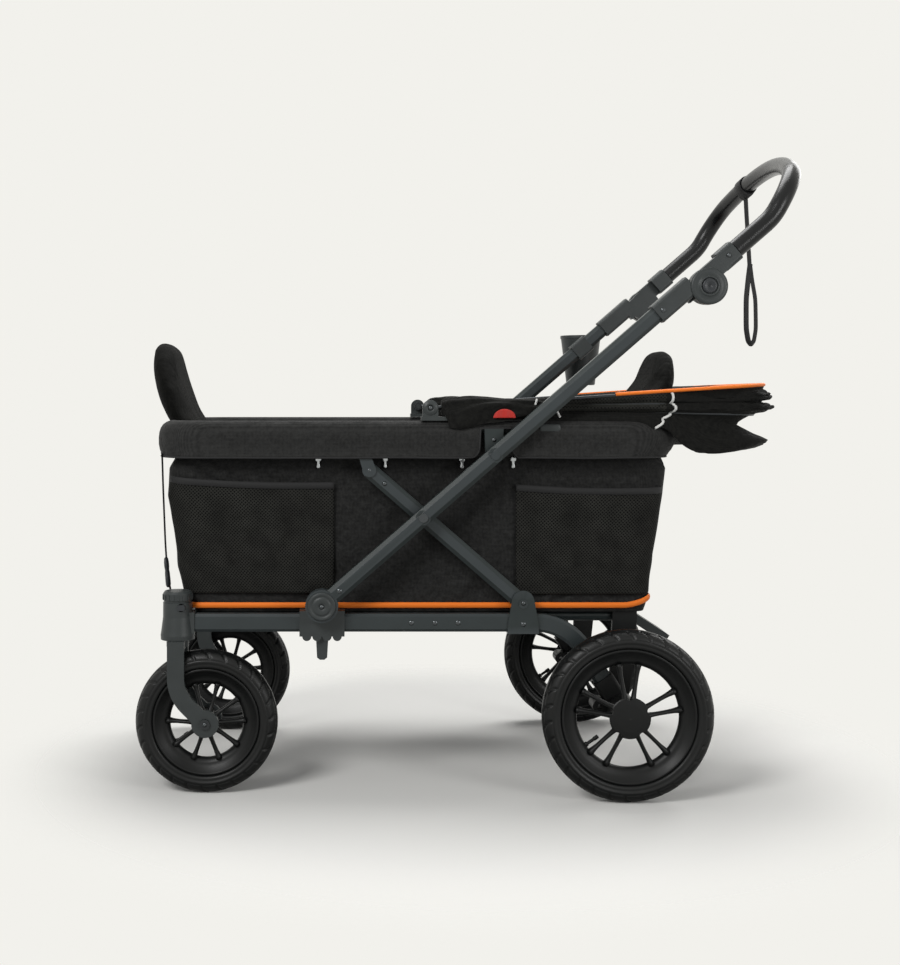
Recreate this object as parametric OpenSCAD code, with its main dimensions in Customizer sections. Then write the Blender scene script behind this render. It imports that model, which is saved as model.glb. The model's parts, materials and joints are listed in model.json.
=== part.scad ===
// Folding stroller wagon: scissor frame, fabric basket, folded canopy, tilting push handle.
// Millimetres, +Z up, the front of the wagon faces -X and the push handle is at +X.
// The source is drawn round the scissor centre (x = 0) and the basket's middle plane (y = 0);
// place() then moves everything so that the origin is the middle of the box's underside.

/* [Chassis] */
// Height of the side rails' middle line
rail_z = 302; // [296:1:308]
// Height of a side rail's section
rail_h = 32; // [28:1:36]
// Width of a side rail's section
rail_w = 22; // [20:1:22]
// Half the distance between the side rails' middle planes
rail_y = 232; // [222:1:240]
// Wall of the rail tubes
rail_wall = 2; // [1.5:0.1:3]
// Where the rails start to bend down to the rear axle
rail_bend_x = 200; // [196:1:215]
// Bend radius of the rails
rail_bend_r = 105; // [90:1:115]
// Slope of the rails' rear legs
rear_leg_angle = 57.5; // [54:0.5:60]

/* [Scissor] */
// Angle of the scissor tubes when the wagon is open
open_angle = 41; // [40:0.5:42]
// Angle of the scissor tubes when the wagon is folded
folded_angle = 8; // [8:0.5:12]
// Height of the lower scissor pivots
pivot_z = 336; // [335:1:339]
// Lower arm length of both scissor tubes
arm_l = 237; // [230:1:242]
// Distance from the scissor centre to the rim pivot
rim_arm_l = 167.8; // [164:0.2:171]
// Distance from the scissor centre to the link pivot
link_arm_l = 125.3; // [122:0.2:128]
// Height of the scissor tubes' section
tube_h = 28; // [25:1:29]
// Thickness of the push tubes
push_w = 24; // [22:1:24]
// Thickness of the cross braces
brace_w = 19; // [16:1:19]
// Radius of the pivot pins
pin_r = 6; // [5:0.5:6.5]

/* [Basket] */
// Front face of the rim
rim_front_x = -470.8; // [-480:0.2:-466]
// Rear face of the rim
rim_rear_x = 451.2; // [448:0.2:458]
// Top of the rim cover
rim_top_z = 662; // [658:1:666]
// Height of the rim cover
cover_h = 67; // [60:1:68]
// Underside of the basket's fabric floor
basket_z = 318.4; // [318.4:0.1:320]
// Thickness of the basket's padded fabric
basket_t = 3; // [2.5:0.1:3.5]
// How far the basket's front wall slopes in at the bottom
front_slope = 32; // [28:1:36]
// How far the basket's rear wall slopes in at the bottom
rear_slope = 26; // [20:1:34]
// Corner radius of the basket in plan
basket_r = 60; // [50:1:70]

/* [Wheels] */
// Radius of the rear tyres
rear_r = 150; // [146:1:152]
// Radius of the front tyres
front_r = 127; // [122:1:127]
// Width of the tyres
tyre_w = 48; // [44:1:50]
// Half the distance between the rear wheels' middle planes
rear_track = 295; // [293:1:302]
// Where the caster kingpins stand
kingpin_x = -437; // [-441:1:-435]
// How far the front axles trail behind the kingpins
trail = 52; // [46:1:54]

/* [Handle] */
// Length of the push tubes from their lower pivots
push_l = 800; // [780:1:806]
// Diameter of the grip
grip_d = 33; // [30:1:36]
// Bend radius of the handle's corners
handle_r = 90; // [84:1:96]
// Radius of the cross bar's gentle bow
crown_r = 520; // [480:10:640]
// Diameter of the cup holder's mouth
cup_d = 88; // [80:1:92]

/* [Canopy] */
// Height of the canopy's hinge
hinge_z = 685; // [683:1:688]
// Length of the canopy's bows
bow_l = 600; // [590:1:606]

/* [Hidden] */
$fn = 64;
// Gap between sewn or seated pieces
seat = 0.3;
// Radial clearance of a running pivot
run = 0.05;
// Clearance of a sliding sleeve
slide = 0.25;

push_y = rail_y + 30;
push_in = push_y - push_w / 2;
push_out = push_y + push_w / 2;
boss = 0.6;
rail_in = rail_y - rail_w / 2;
rail_out = rail_y + rail_w / 2;
rail_top = rail_z + rail_h / 2;
rail_bottom = rail_z - rail_h / 2;
brace_in = rail_y - brace_w / 2;
brace_out = rail_y + brace_w / 2;
basket_y = rail_y - 14.6;
cover_out = push_in - 2;
cover_in = basket_y + seat;
cover_t = 3;
cover_z = rim_top_z - cover_h;

span = arm_l * cos(open_angle);
centre_z = pivot_z + arm_l * sin(open_angle);
rim_x = rim_arm_l * cos(open_angle);
rim_z = centre_z + rim_arm_l * sin(open_angle);
link_x = -link_arm_l * cos(open_angle);
link_z = centre_z + link_arm_l * sin(open_angle);

// the link's upper pivot: as far from the link pivot when the wagon is folded as when it is open
fold_dx = -(link_arm_l + rim_arm_l) * cos(folded_angle);
fold_dz = (link_arm_l - rim_arm_l) * sin(folded_angle);
open_dx = link_x - rim_x;
open_dz = link_z - rim_z;
lug_dz = rim_top_z - 30 - rim_z;
lug_dx = (pow(fold_dx, 2) - pow(open_dx, 2) + pow(fold_dz, 2) - pow(open_dz, 2)
    - 2 * lug_dz * (fold_dz - open_dz)) / (2 * (fold_dx - open_dx));
lug_x = rim_x + lug_dx;
lug_z = rim_z + lug_dz;

rear_axle_x = rail_bend_x + rail_bend_r * sin(rear_leg_angle)
    + (rail_z - rail_bend_r * (1 - cos(rear_leg_angle)) - rear_r) / tan(rear_leg_angle);
leg_l = (rail_z - rail_bend_r * (1 - cos(rear_leg_angle)) - rear_r) / sin(rear_leg_angle);
front_axle_x = kingpin_x + trail;
crown_z = rail_z - 44;
head_z = crown_z + 14.3;
head_r = 26;
axle_r = 6;
rear_pin_r = 7;

tube_r = 9;
rim_tube_z = rim_top_z - cover_t - tube_r - seat;
rim_inset = cover_out - rail_y;

// a point s along the push tubes' middle line and n above it
function on_push(s, n) = [-span + s * cos(open_angle) - n * sin(open_angle),
    pivot_z + s * sin(open_angle) + n * cos(open_angle)];
tilt_x = on_push(push_l + 82.6, -21.2)[0];
tilt_z = on_push(push_l + 82.6, -21.2)[1];
arm_a = open_angle;
bend_a = 19.5;
bend_r = 100;
arm_x = on_push(push_l + 160.8, -4.4)[0];
arm_z = on_push(push_l + 160.8, -4.4)[1];
arm_1 = 72;
arm_2 = 2.1;
bar_r = 12.5;
bend_cx = arm_x + arm_1 * cos(arm_a) - bend_r * sin(arm_a);
bend_cz = arm_z + arm_1 * sin(arm_a) + bend_r * cos(arm_a);
bow_x = bend_cx + bend_r * sin(arm_a + bend_a) + arm_2 * cos(arm_a + bend_a);
bow_z = bend_cz - bend_r * cos(arm_a + bend_a) + arm_2 * sin(arm_a + bend_a);
crown_a = asin((push_y - handle_r) / (crown_r - handle_r));
crown_x = -(crown_r - handle_r) * cos(crown_a);
bar_x = bow_x + (crown_x + crown_r) * cos(arm_a + bend_a);
bar_z = bow_z + (crown_x + crown_r) * sin(arm_a + bend_a);
strap_y = 125;
strap_a = asin(strap_y / crown_r);
strap_x = bow_x + (crown_x + crown_r * cos(strap_a)) * cos(arm_a + bend_a);
strap_z = bow_z + (crown_x + crown_r * cos(strap_a)) * sin(arm_a + bend_a);
knob_out = push_y + 18;

hinge_x = 14;
bow_d = 6;
bow_a = [-1.2, 1.0, 3.8];
bow_y = [rail_y - 12, rail_y - 5, rail_y + 2];

cup_s = push_l - 66;
cup_x = -span + cup_s * cos(open_angle);
cup_y = push_out + 4 + cup_d / 2;
cup_top = pivot_z + cup_s * sin(open_angle) + 21;
cup_h = 108;

x_shift = -(front_axle_x - front_r + bar_x + grip_d / 2) / 2;
y_shift = -(cup_y + cup_d / 2 - rear_track - tyre_w / 2 - 3) / 2;

// Helpers: where things sit and the outlines they share

module place() { translate([x_shift, y_shift, 0]) children(); }

// a piece drawn on the +Y side, put on side s
module side(s) {
    if (s < 0) mirror([0, 1, 0]) children();
    else children();
}

module both() {
    children();
    mirror([0, 1, 0]) children();
}

// an outline in x and z, pulled from y0 to y1
module xz(y0, y1) { translate([0, y1, 0]) rotate([90, 0, 0]) linear_extrude(y1 - y0) children(); }

// an outline in y and z, pulled along x from 0 to l
module along_x(l) { rotate([90, 0, 90]) linear_extrude(l) children(); }

// a cylinder along y from y0 to y1
module rod_y(x, z, r, y0, y1) { translate([x, y1, z]) rotate([90, 0, 0]) cylinder(r = r, h = y1 - y0); }

// corner points of a rounded rectangle, n steps to a corner
function rounded(w, h, r, n = 5) = [for (c = [0:3]) for (k = [0:n])
    let (a = c * 90 + k * 90 / n)
    [(c == 0 || c == 3 ? 1 : -1) * (w / 2 - r) + r * cos(a),
     (c < 2 ? 1 : -1) * (h / 2 - r) + r * sin(a)]];

// points on an arc
function arc(x, z, r, a0, a1, n = 8) = [for (k = [0:n])
    let (a = a0 + (a1 - a0) * k / n) [x + r * cos(a), z + r * sin(a)]];

// the frame tubes' flat-cornered section
function facet(w, h, c) = [[w / 2, h / 2 - c], [w / 2 - c * 0.7, h / 2], [c * 0.7 - w / 2, h / 2],
    [-w / 2, h / 2 - c], [-w / 2, c - h / 2], [c * 0.7 - w / 2, -h / 2], [w / 2 - c * 0.7, -h / 2],
    [w / 2, c - h / 2]];

module tube_section(w, h, c, wall) {
    difference() {
        polygon(facet(w, h, c));
        if (wall > 0) polygon(facet(w - 2 * wall, h - 2 * wall, c - wall / 2));
    }
}

// a straight tube from (x, z) at an angle, its middle plane at y
module tube(x, z, y, a, l, w, h, wall, c = 7) {
    translate([x, y, z]) rotate([0, -a, 0]) along_x(l) tube_section(w, h, c, wall);
}

// a rounded box along a tube
module sleeve(x, z, y, a, s0, s1, w, h, r) {
    translate([x, y, z]) rotate([0, -a, 0]) translate([s0, 0, 0])
        along_x(s1 - s0) polygon(rounded(w, h, r));
}

// plan of the basket, grown outwards by g
module plan(g) {
    translate([(rim_front_x + rim_rear_x) / 2, 0])
        polygon(rounded(rim_rear_x - rim_front_x - 2 * (cover_out - basket_y) + 2 * g,
            2 * (basket_y + g), basket_r + g, 10));
}

function wall_front(z) = rim_front_x + cover_out - basket_y
    + front_slope * (rim_top_z - 7 - z) / (rim_top_z - 7 - basket_z);
function wall_rear(z) = rim_rear_x - cover_out + basket_y
    - rear_slope * (rim_top_z - 7 - z) / (rim_top_z - 7 - basket_z);

// Chassis

module rail_section(g, wall) { tube_section(rail_w + 2 * g, rail_h + 2 * g, 5 + g / 2, wall); }

module rail_leg(g, wall, s0, s1) {
    translate([rail_bend_x + rail_bend_r * sin(rear_leg_angle), rail_y,
        rail_z - rail_bend_r * (1 - cos(rear_leg_angle))])
        rotate([0, rear_leg_angle, 0]) translate([s0, 0, 0]) along_x(s1 - s0) rail_section(g, wall);
}

module side_rails() {
    color("#3a3f40") place() both() {
        translate([kingpin_x + head_r + 5, rail_y, rail_z])
            along_x(rail_bend_x - kingpin_x - head_r - 5) rail_section(0, rail_wall);
        translate([rail_bend_x, rail_y, rail_z - rail_bend_r]) rotate([90, 0, 0])
            rotate([0, 0, 90 - rear_leg_angle]) rotate_extrude(angle = rear_leg_angle)
            translate([rail_bend_r, 0]) rotate([0, 0, 90]) rail_section(0, rail_wall);
        rail_leg(0, rail_wall, 0, leg_l - 24);
        rail_leg(0.12, rail_wall + 0.3, -0.4, 0.4);
        translate([rail_bend_x - 0.4, rail_y, rail_z]) along_x(0.8) rail_section(0.12, rail_wall + 0.3);
    }
}

// the swivel heads' drawn-in barrel, grown outwards by g
module head_barrel(g) {
    rotate_extrude() polygon([[0, head_z], [30 + g, head_z], [30.5 + g, head_z + 8], [29.5 + g, head_z + 14],
        [26.2 + g, head_z + 40], [26 + g, head_z + 66], [24.5 + g, head_z + 67], [24.5 + g, head_z + 69],
        [26 + g, head_z + 70], [26 + g, head_z + 82], [23 + g, head_z + 86], [0, head_z + 87]]);
}

module front_cross_tube() {
    color("#3a3f40") place() difference() {
        rod_y(kingpin_x, rail_z, 12.5, head_r - rail_y - 3, rail_y - head_r + 3);
        both() translate([kingpin_x, rail_y, 0]) head_barrel(0.1);
        rod_y(kingpin_x, rail_z, 10.5, head_r - rail_y - 4, rail_y - head_r + 4);
    }
}

// swivel heads: the barrel, a ribbed cap and a block that takes the rail
module caster_housings() {
    color("#2a2b2b") place() both() difference() {
        union() {
            translate([kingpin_x, rail_y, 0]) head_barrel(0);
            for (k = [0:17]) translate([kingpin_x, rail_y, head_z + 71]) rotate([0, 0, k * 20])
                translate([25.2, -1.5, 0]) cube([2, 3, 9]);
            translate([kingpin_x, rail_y - rail_w / 2 - 2.6, rail_bottom - 3])
                cube([head_r + 5, rail_w + 5.2, rail_h + 6]);
        }
        translate([kingpin_x, rail_y, head_z - 1]) cylinder(r = 9 + run, h = 71);
        rod_y(kingpin_x + 9, rail_z + 29, 7 + slide, rail_y + 12, rail_y + 40);
    }
}

module rear_axle() {
    color("#9a9c9d") place()
        rod_y(rear_axle_x, rear_r, rear_pin_r, -rear_track - tyre_w / 2 + 2, rear_track + tyre_w / 2 - 2);
}

module rear_axle_beam() {
    color("#3a3f40") place() difference() {
        rod_y(rear_axle_x, rear_r, 12.5, -rail_y + 32, rail_y - 32);
        rod_y(rear_axle_x, rear_r, rear_pin_r + run, -rail_y + 31, rail_y - 31);
    }
}

tray_y = rail_y - 42;
tray_r = 10;
tray_z = basket_z - tray_r - seat;
tray_rear = rear_axle_x + 20;

// cast blocks: axle boss, socket for the rail and an upright to the tray frame
module rear_hub_blocks() {
    color("#2a2b2b") place() both() difference() {
        union() {
            rod_y(rear_axle_x, rear_r, 26, rail_y - 32, rail_y + 20);
            translate([rear_axle_x, rail_y, rear_r]) rotate([0, rear_leg_angle, 0])
                translate([-62, 0, 0]) along_x(62) polygon(rounded(rail_w + 7, rail_h + 7, 5));
            xz(tray_y + tray_r, tray_y + tray_r + 9) polygon([[rear_axle_x - 18, rear_r],
                [rear_axle_x + 18, rear_r], [tray_rear + 14, tray_z - 4], [tray_rear + 14, tray_z + 9],
                [tray_rear - 30, tray_z + 9], [tray_rear - 30, tray_z - 4]]);
            rod_y(rear_axle_x - 40, rear_r + 4, 12, rail_y - 28, rail_y + 14);
            translate([rear_axle_x - 44, rail_y - 26, rear_r - 6]) cube([40, 38, 22]);
        }
        rail_leg(0.1, 0, 0, leg_l - 23.9);
        rod_y(rear_axle_x, rear_r, rear_pin_r + run, rail_y - 40, rail_y + 40);
        rod_y(rear_axle_x - 40, rear_r + 4, 4, rail_y - 30, rail_y + 20);
    }
}

// the tube frame under the basket, a U closed at the rear, and two cross bars to the rails
module tray_frame() {
    color("#3a3f40") place() difference() {
        union() {
            both() {
                translate([kingpin_x, tray_y, tray_z]) rotate([0, 90, 0])
                    cylinder(r = tray_r, h = tray_rear - 40 - kingpin_x);
                translate([tray_rear - 40, tray_y - 40, tray_z]) rotate_extrude(angle = 90)
                    translate([40, 0]) circle(r = tray_r);
            }
            rod_y(tray_rear, tray_z, tray_r, -tray_y + 40, tray_y - 40);
            for (x = [-80, 110]) translate([x - 12, -rail_in, tray_z - 6]) cube([24, 2 * rail_in, 12]);
        }
        rod_y(kingpin_x, rail_z, 12.6, -rail_y, rail_y);
        translate([kingpin_x - 40, -rail_y, rail_z - 30]) cube([40, 2 * rail_y, 60]);
    }
}

module floor_board() {
    color("#4a4036") place() intersection() {
        xz(-basket_y, basket_y) polygon([[wall_front(basket_z + 3) + 8, basket_z + basket_t + seat],
            [wall_rear(basket_z + 3) - 8, basket_z + basket_t + seat],
            [wall_rear(basket_z + 3) - 8, basket_z + basket_t + seat + board_t],
            [wall_front(basket_z + 3) + 8, basket_z + basket_t + seat + board_t]]);
        translate([0, 0, basket_z]) linear_extrude(20) plan(-basket_t - 1);
    }
}

// arch-topped plates round the rails that carry the rear scissor pivots
module pivot_brackets() {
    color("#3a3f40") place() both() {
        xz(rail_out + 0.15, rail_out + 3.4) polygon(concat([[span - 28, rail_bottom - 3],
            [span + 28, rail_bottom - 3], [span + 27, rail_z]], arc(span, pivot_z + 4, 20, 12, 168, 10),
            [[span - 27, rail_z]]));
        xz(rail_in - 3, rail_in - 0.15) polygon([[span - 28, rail_bottom - 3], [span + 28, rail_bottom - 3],
            [span + 27, rail_top - 2], [span - 27, rail_top - 2]]);
        translate([span - 28, rail_in - 3, rail_bottom - 3]) cube([48, rail_w + 6.4, 2.8]);
        rod_y(span, pivot_z, pin_r, brace_in, rail_out + 3.4);
        rod_y(span, pivot_z, 8, rail_out + 3.4, rail_out + 5);
    }
}

module rivet(x, z, y) {
    translate([x, y, z]) rotate([-90, 0, 0]) rotate_extrude() polygon([[0, 0], [4.5, 0], [4.2, 0.8],
        [2.6, 1.6], [0, 1.8]]);
}

module chassis_rivets() {
    color("#55585a") place() both() {
        for (x = [-20, 22, 63]) rivet(x, rail_z, rail_out);
        rivet(span, rail_z - 2, rail_out + 3.4);
    }
}

// Basket and its soft pieces

module basket_body(g, z0) {
    intersection() {
        xz(-rail_y, rail_y) polygon([[wall_front(z0) - g, z0], [wall_rear(z0) + g, z0],
            [wall_rear(rim_top_z - 7) + g, rim_top_z - 7], [wall_front(rim_top_z - 7) - g, rim_top_z - 7]]);
        translate([0, 0, z0 - 1]) linear_extrude(rim_top_z) plan(g);
    }
}

module basket_shell() {
    color("#1f2020") place() difference() {
        basket_body(0, basket_z);
        intersection() {
            xz(-rail_y, rail_y) polygon([[wall_front(basket_z) + basket_t, basket_z + basket_t],
                [wall_rear(basket_z) - basket_t, basket_z + basket_t],
                [wall_rear(rim_top_z) - basket_t, rim_top_z], [wall_front(rim_top_z) + basket_t, rim_top_z]]);
            linear_extrude(rim_top_z + 1) plan(-basket_t);
        }
    }
}

pocket_front = [[wall_front(376) + 26, 376], [-158, 376], [-158, 556], [wall_front(560) + 26, 559]];
pocket_rear = [[169, 376], [wall_rear(376) - 26, 376], [wall_rear(550) - 26, 552], [169, 546]];

module mesh_pockets() {
    color("#161717") place() both() xz(basket_y + seat, basket_y + seat + 1.5) {
        polygon(pocket_front);
        polygon(pocket_rear);
    }
}

module basket_piping() {
    pz = basket_z + 7.4;
    xf = wall_front(pz) - seat - 0.7;
    xr = wall_rear(pz) + seat + 0.7;
    color("#ff8c28") place() translate([(xf + xr) / 2, 0, pz]) linear_extrude(8.4) difference() {
        polygon(rounded(xr - xf + 7, 2 * (basket_y + seat) + 6, 12));
        polygon(rounded(xr - xf, 2 * (basket_y + seat), 8));
    }
}

module cushion(x0, x1, y1, z0, z1) {
    c = 9;
    intersection() {
        xz(-y1, y1) polygon([[x0 + 2, z0], [x1 - 2, z0], [x1, z0 + c], [x1, z1 - c], [x1 - c * 0.5, z1 - c * 0.35],
            [x1 - 2.6 * c, z1], [x0 + 2.6 * c, z1], [x0 + c * 0.5, z1 - c * 0.35], [x0, z1 - c], [x0, z0 + c]]);
        translate([x0, 0, 0]) along_x(x1 - x0) polygon([[-y1 + 2, z0], [y1 - 2, z0], [y1, z0 + c], [y1, z1 - c],
            [y1 - c * 0.5, z1 - c * 0.35], [y1 - 2.6 * c, z1], [-y1 + 2.6 * c, z1], [-y1 + c * 0.5, z1 - c * 0.35],
            [-y1, z1 - c], [-y1, z0 + c]]);
        translate([(x0 + x1) / 2, 0, z0]) linear_extrude(z1 - z0) polygon(rounded(x1 - x0, 2 * y1, 34, 6));
    }
}

board_t = 5;
cushion_h = 42;
cushion_y = basket_y - 19.4;
well_front = -100;
well_rear = 105;
cushion_gap_front = 32;
cushion_gap_rear = 40;

module seat_cushions() {
    z0 = basket_z + basket_t + board_t + 2 * seat;
    color("#242525") place() {
        cushion(wall_front(basket_z) + cushion_gap_front, well_front, cushion_y, z0, z0 + cushion_h);
        cushion(well_rear, wall_rear(basket_z) - cushion_gap_rear, cushion_y, z0, z0 + cushion_h);
    }
}

// webbing that ties the basket's ends to the frame
module tie_straps() {
    color("#191a1a") place() both() {
        xz(rail_y - 52, rail_y - 32) polygon([[rim_front_x + 12, cover_z - seat], [rim_front_x + 14, cover_z - seat],
            [kingpin_x - 0.4, rail_z + 12.8], [kingpin_x - 2.4, rail_z + 12.8]]);
        xz(rail_y - 42, rail_y - 27) polygon([[wall_rear(cover_z) + seat + 2, cover_z - seat],
            [wall_rear(cover_z) + seat, cover_z - seat], [wall_rear(345) + seat, 345], [wall_rear(345) + seat + 2, 345]]);
    }
}

// Casters

module swivel_button(s) {
    color("#343637") place() side(s) intersection() {
        rod_y(kingpin_x + 9, rail_z + 29, 7, rail_y + 16, rail_y + 28);
        translate([kingpin_x - 1, rail_y + 16, rail_z + 24]) cube([20, 16, 10]);
    }
}

fork_t = 8;
fork_gap = tyre_w / 2 + 2;
fork_w = 30;
fork_r = 70;
fork_a = 45;
fork_z = front_r + fork_r * sin(fork_a) + (trail - fork_r * (1 - cos(fork_a))) / tan(fork_a);

module fork_leg() {
    ax = front_axle_x;
    h = fork_w / 2;
    polygon(concat([[kingpin_x - h, crown_z + 14]],
        arc(kingpin_x + fork_r, fork_z, fork_r + h, 180, 180 + fork_a),
        [[ax - h * cos(fork_a), front_r - h * sin(fork_a)], [ax + h * cos(fork_a), front_r + h * sin(fork_a)]],
        arc(kingpin_x + fork_r, fork_z, fork_r - h, 180 + fork_a, 180), [[kingpin_x + h, crown_z + 14]]));
    translate([ax, front_r]) circle(r = 24);
}

module caster_fork(s) {
    color("#2f3232") place() side(s) difference() {
        union() {
            for (y = [rail_y - fork_gap - fork_t, rail_y + fork_gap]) xz(y, y + fork_t) fork_leg();
            translate([kingpin_x - fork_w / 2, rail_y - fork_gap - fork_t, crown_z])
                cube([fork_w, 2 * (fork_gap + fork_t), 14]);
            translate([kingpin_x, rail_y, crown_z + 1]) cylinder(r = 9, h = 82);
            translate([kingpin_x, rail_y, crown_z + 1]) cylinder(r = 20, h = 13);
        }
        rod_y(front_axle_x, front_r, axle_r + run, rail_y - 60, rail_y + 60);
    }
}

module front_axle(s) {
    color("#9a9c9d") place() side(s) {
        rod_y(front_axle_x, front_r, axle_r, rail_y - fork_gap - fork_t - 5, rail_y + fork_gap + fork_t + 4);
        rod_y(front_axle_x, front_r, 9, rail_y + fork_gap + fork_t, rail_y + fork_gap + fork_t + 4);
        rod_y(front_axle_x, front_r, 9, rail_y - fork_gap - fork_t - 5, rail_y - fork_gap - fork_t);
    }
}

// Wheels, drawn round the origin with the axle along y

function rim_border(r) = r - 35;
function rim_open(r) = r * 0.83 - 38.4;

module wheel_rim(r, hub_r, hub_0, hub_1, bore) {
    b = rim_border(r);
    o = rim_open(r);
    h = tyre_w / 2;
    difference() {
        union() {
            rotate([90, 0, 0]) rotate_extrude() polygon([[o, -h + 9], [o + 2, -h + 7], [b - 5, -h + 5], [b - 2, -h + 3.5],
                [b, -h + 5], [b - 1, -h + 9], [b - 8, -h + 16], [b - 8, h - 16], [b - 1, h - 9], [b, h - 5],
                [b - 2, h - 3.5], [b - 5, h - 5], [o + 2, h - 7], [o, h - 9]]);
            rod_y(0, 0, hub_r, hub_0, hub_1);
            for (k = [0:4]) rotate([0, -18 - 72 * k, 0]) for (e = [-1, 1])
                xz(h - 26, h - 11) polygon([[hub_r - 5, e * 4], [hub_r - 2, e * 12], [o * 0.75, e * (o * 0.17 + 5)],
                    [o + 3, e * (o * 0.25 + 6)], [o + 3, e * (o * 0.25 - 4)], [o * 0.75, e * (o * 0.17 - 3)]]);
        }
        rod_y(0, 0, bore + run, hub_0 - 1, hub_1 + 1);
    }
}

module wheel_tyre(r) {
    b = rim_border(r);
    h = tyre_w / 2;
    rotate([90, 0, 0]) rotate_extrude() difference() {
        polygon([[b + seat, -h + 4.8], [b + 3, -h + 2.4], [b + 9, -h + 0.5], [b + 14, -h], [b + 22, -h + 1.4], [b + 28, -h + 5],
            [b + 32, -h + 11], [b + 34.3, -h + 17], [r, 0], [b + 34.3, h - 17], [b + 32, h - 11], [b + 28, h - 5], [b + 22, h - 1.4],
            [b + 14, h], [b + 9, h - 0.5], [b + 3, h - 2.4], [b + seat, h - 4.8], [b - 0.7, h - 9.3], [b - 7.7, h - 16],
            [b - 7.7, -h + 16], [b - 0.7, -h + 9.3]]);
        translate([b + 13, 0]) circle(r = 13.5);
    }
}

module front_rim(s) {
    color("#232525") place() side(s) translate([front_axle_x, rail_y, front_r])
        wheel_rim(front_r, 19, -tyre_w / 2 + 1, tyre_w / 2 - 1, axle_r);
}

module front_tyre(s) {
    color("#2b2d2d") place() side(s) translate([front_axle_x, rail_y, front_r]) wheel_tyre(front_r);
}

module rear_rim(s) {
    color("#232525") place() side(s) translate([rear_axle_x, rear_track, rear_r])
        wheel_rim(rear_r, 27, rail_y + 20.4 - rear_track, tyre_w / 2 - 2, rear_pin_r);
}

module rear_tyre(s) {
    color("#2b2d2d") place() side(s) translate([rear_axle_x, rear_track, rear_r]) wheel_tyre(rear_r);
}

// a domed cover on the hub, its edge scalloped between the spoke pairs
module rear_hub_cap(s) {
    color("#2a2b2b") place() side(s) translate([rear_axle_x, rear_track + tyre_w / 2 - 2, rear_r]) difference() {
        rotate([-90, 0, 0]) rotate_extrude() polygon([[0, 0.1], [35, 0.1], [36, 1.2], [34, 2.6], [24, 3.6], [0, 4.4]]);
        for (k = [0:4]) rotate([0, -18 - 72 * k, 0]) rod_y(40.5, 0, 9, -1, 9);
    }
}

// Brake

module brake_pedal() {
    color("#2a2b2b") place() difference() {
        union() {
            rod_y(tray_rear, tray_z, tray_r + 4, -50, 50);
            translate([tray_rear, 0, tray_z]) rotate([0, 33, 0]) {
                translate([0, -22, -7]) cube([60, 44, 14]);
                translate([40, -48, -9]) cube([86, 96, 17]);
            }
        }
        rod_y(tray_rear, tray_z, tray_r + run, -60, 60);
        translate([tray_rear, -60, tray_z + tray_r - seat]) cube([30, 120, 20]);
        translate([tray_rear - 30, -60, tray_z + tray_r - 3.4]) cube([31, 120, 20]);
        translate([tray_rear, 0, tray_z]) rotate([0, 33, 0]) translate([56, -38, -10]) cube([60, 76, 8]);
    }
}

// Scissor frame

module cross_braces() {
    color("#3a3f40") place() both() difference() {
        union() {
            tube(span, pivot_z, rail_y, 180 - open_angle, arm_l + link_arm_l, brace_w, tube_h, 2);
            for (p = [[span, pivot_z], [link_x, link_z], [0, centre_z]])
                rod_y(p[0], p[1], tube_h / 2 - 1, brace_in + 0.5, brace_out - 0.5);
        }
        rod_y(span, pivot_z, pin_r + run, 0, rail_y + 40);
        rod_y(0, centre_z, pin_r + run, 0, rail_y + 40);
        rod_y(link_x, link_z, 5 + run, 0, rail_y + 40);
    }
}

module scissor_pins() {
    color("#55585a") place() both() {
        rod_y(0, centre_z, pin_r, brace_in - 2.4, push_out + 2.4);
        rod_y(0, centre_z, 8, brace_in - 2.4, brace_in - 0.1);
        rod_y(0, centre_z, 12, brace_out + 0.1, push_in - 0.2);
        rod_y(0, centre_z, 8, push_out + 0.2, push_out + 2.4);
    }
}

module push_tubes() {
    color("#3a3f40") place() both() difference() {
        union() {
            tube(-span, pivot_z, push_y, open_angle, push_l, push_w, tube_h, 2);
            rod_y(-span, pivot_z, 29, push_in + boss, push_out + boss);
            rod_y(0, centre_z, tube_h / 2 - 1, push_in + 0.5, push_out - 0.5);
            rod_y(rim_x, rim_z, tube_h / 2 - 1, push_in + 0.5, push_out - 0.5);
        }
        for (p = [[-span, pivot_z], [0, centre_z], [rim_x, rim_z]])
            rod_y(p[0], p[1], pin_r + run, push_in - 1, push_y + push_w);
    }
}

module push_rivets() {
    color("#55585a") place() both() {
        rivet(on_push(41, 0)[0], on_push(41, 0)[1], push_out);
        rivet(on_push(push_l - 6, 0)[0], on_push(push_l - 6, 0)[1], push_y + 17);
    }
}

sock_0 = push_l - 18;
sock_1 = push_l + 62;
knuckle_r = 32.5;

// lower half of the tilt joint: a sleeve on the push tube and the inner disc
module handle_sockets() {
    color("#2a2b2b") place() both() difference() {
        union() {
            sleeve(-span, pivot_z, push_y, open_angle, sock_0, sock_1, 34, 36, 7);
            rod_y(tilt_x, tilt_z, 31, push_y - 17, push_y - 0.3);
            translate([-span, push_y - 17, pivot_z]) rotate([0, -open_angle, 0])
                translate([sock_1 - 20, 0.2, -24]) cube([36, 16.3, 32]);
        }
        sleeve(-span, pivot_z, push_y, open_angle, 0, push_l + 0.1, push_w + 0.2, tube_h + 0.2, 0.1);
        rod_y(tilt_x, tilt_z, 7 + run, push_y - 30, push_y + 30);
        rod_y(tilt_x, tilt_z, knuckle_r + 0.5, push_y - 0.1, push_y + 30);
    }
}

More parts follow.
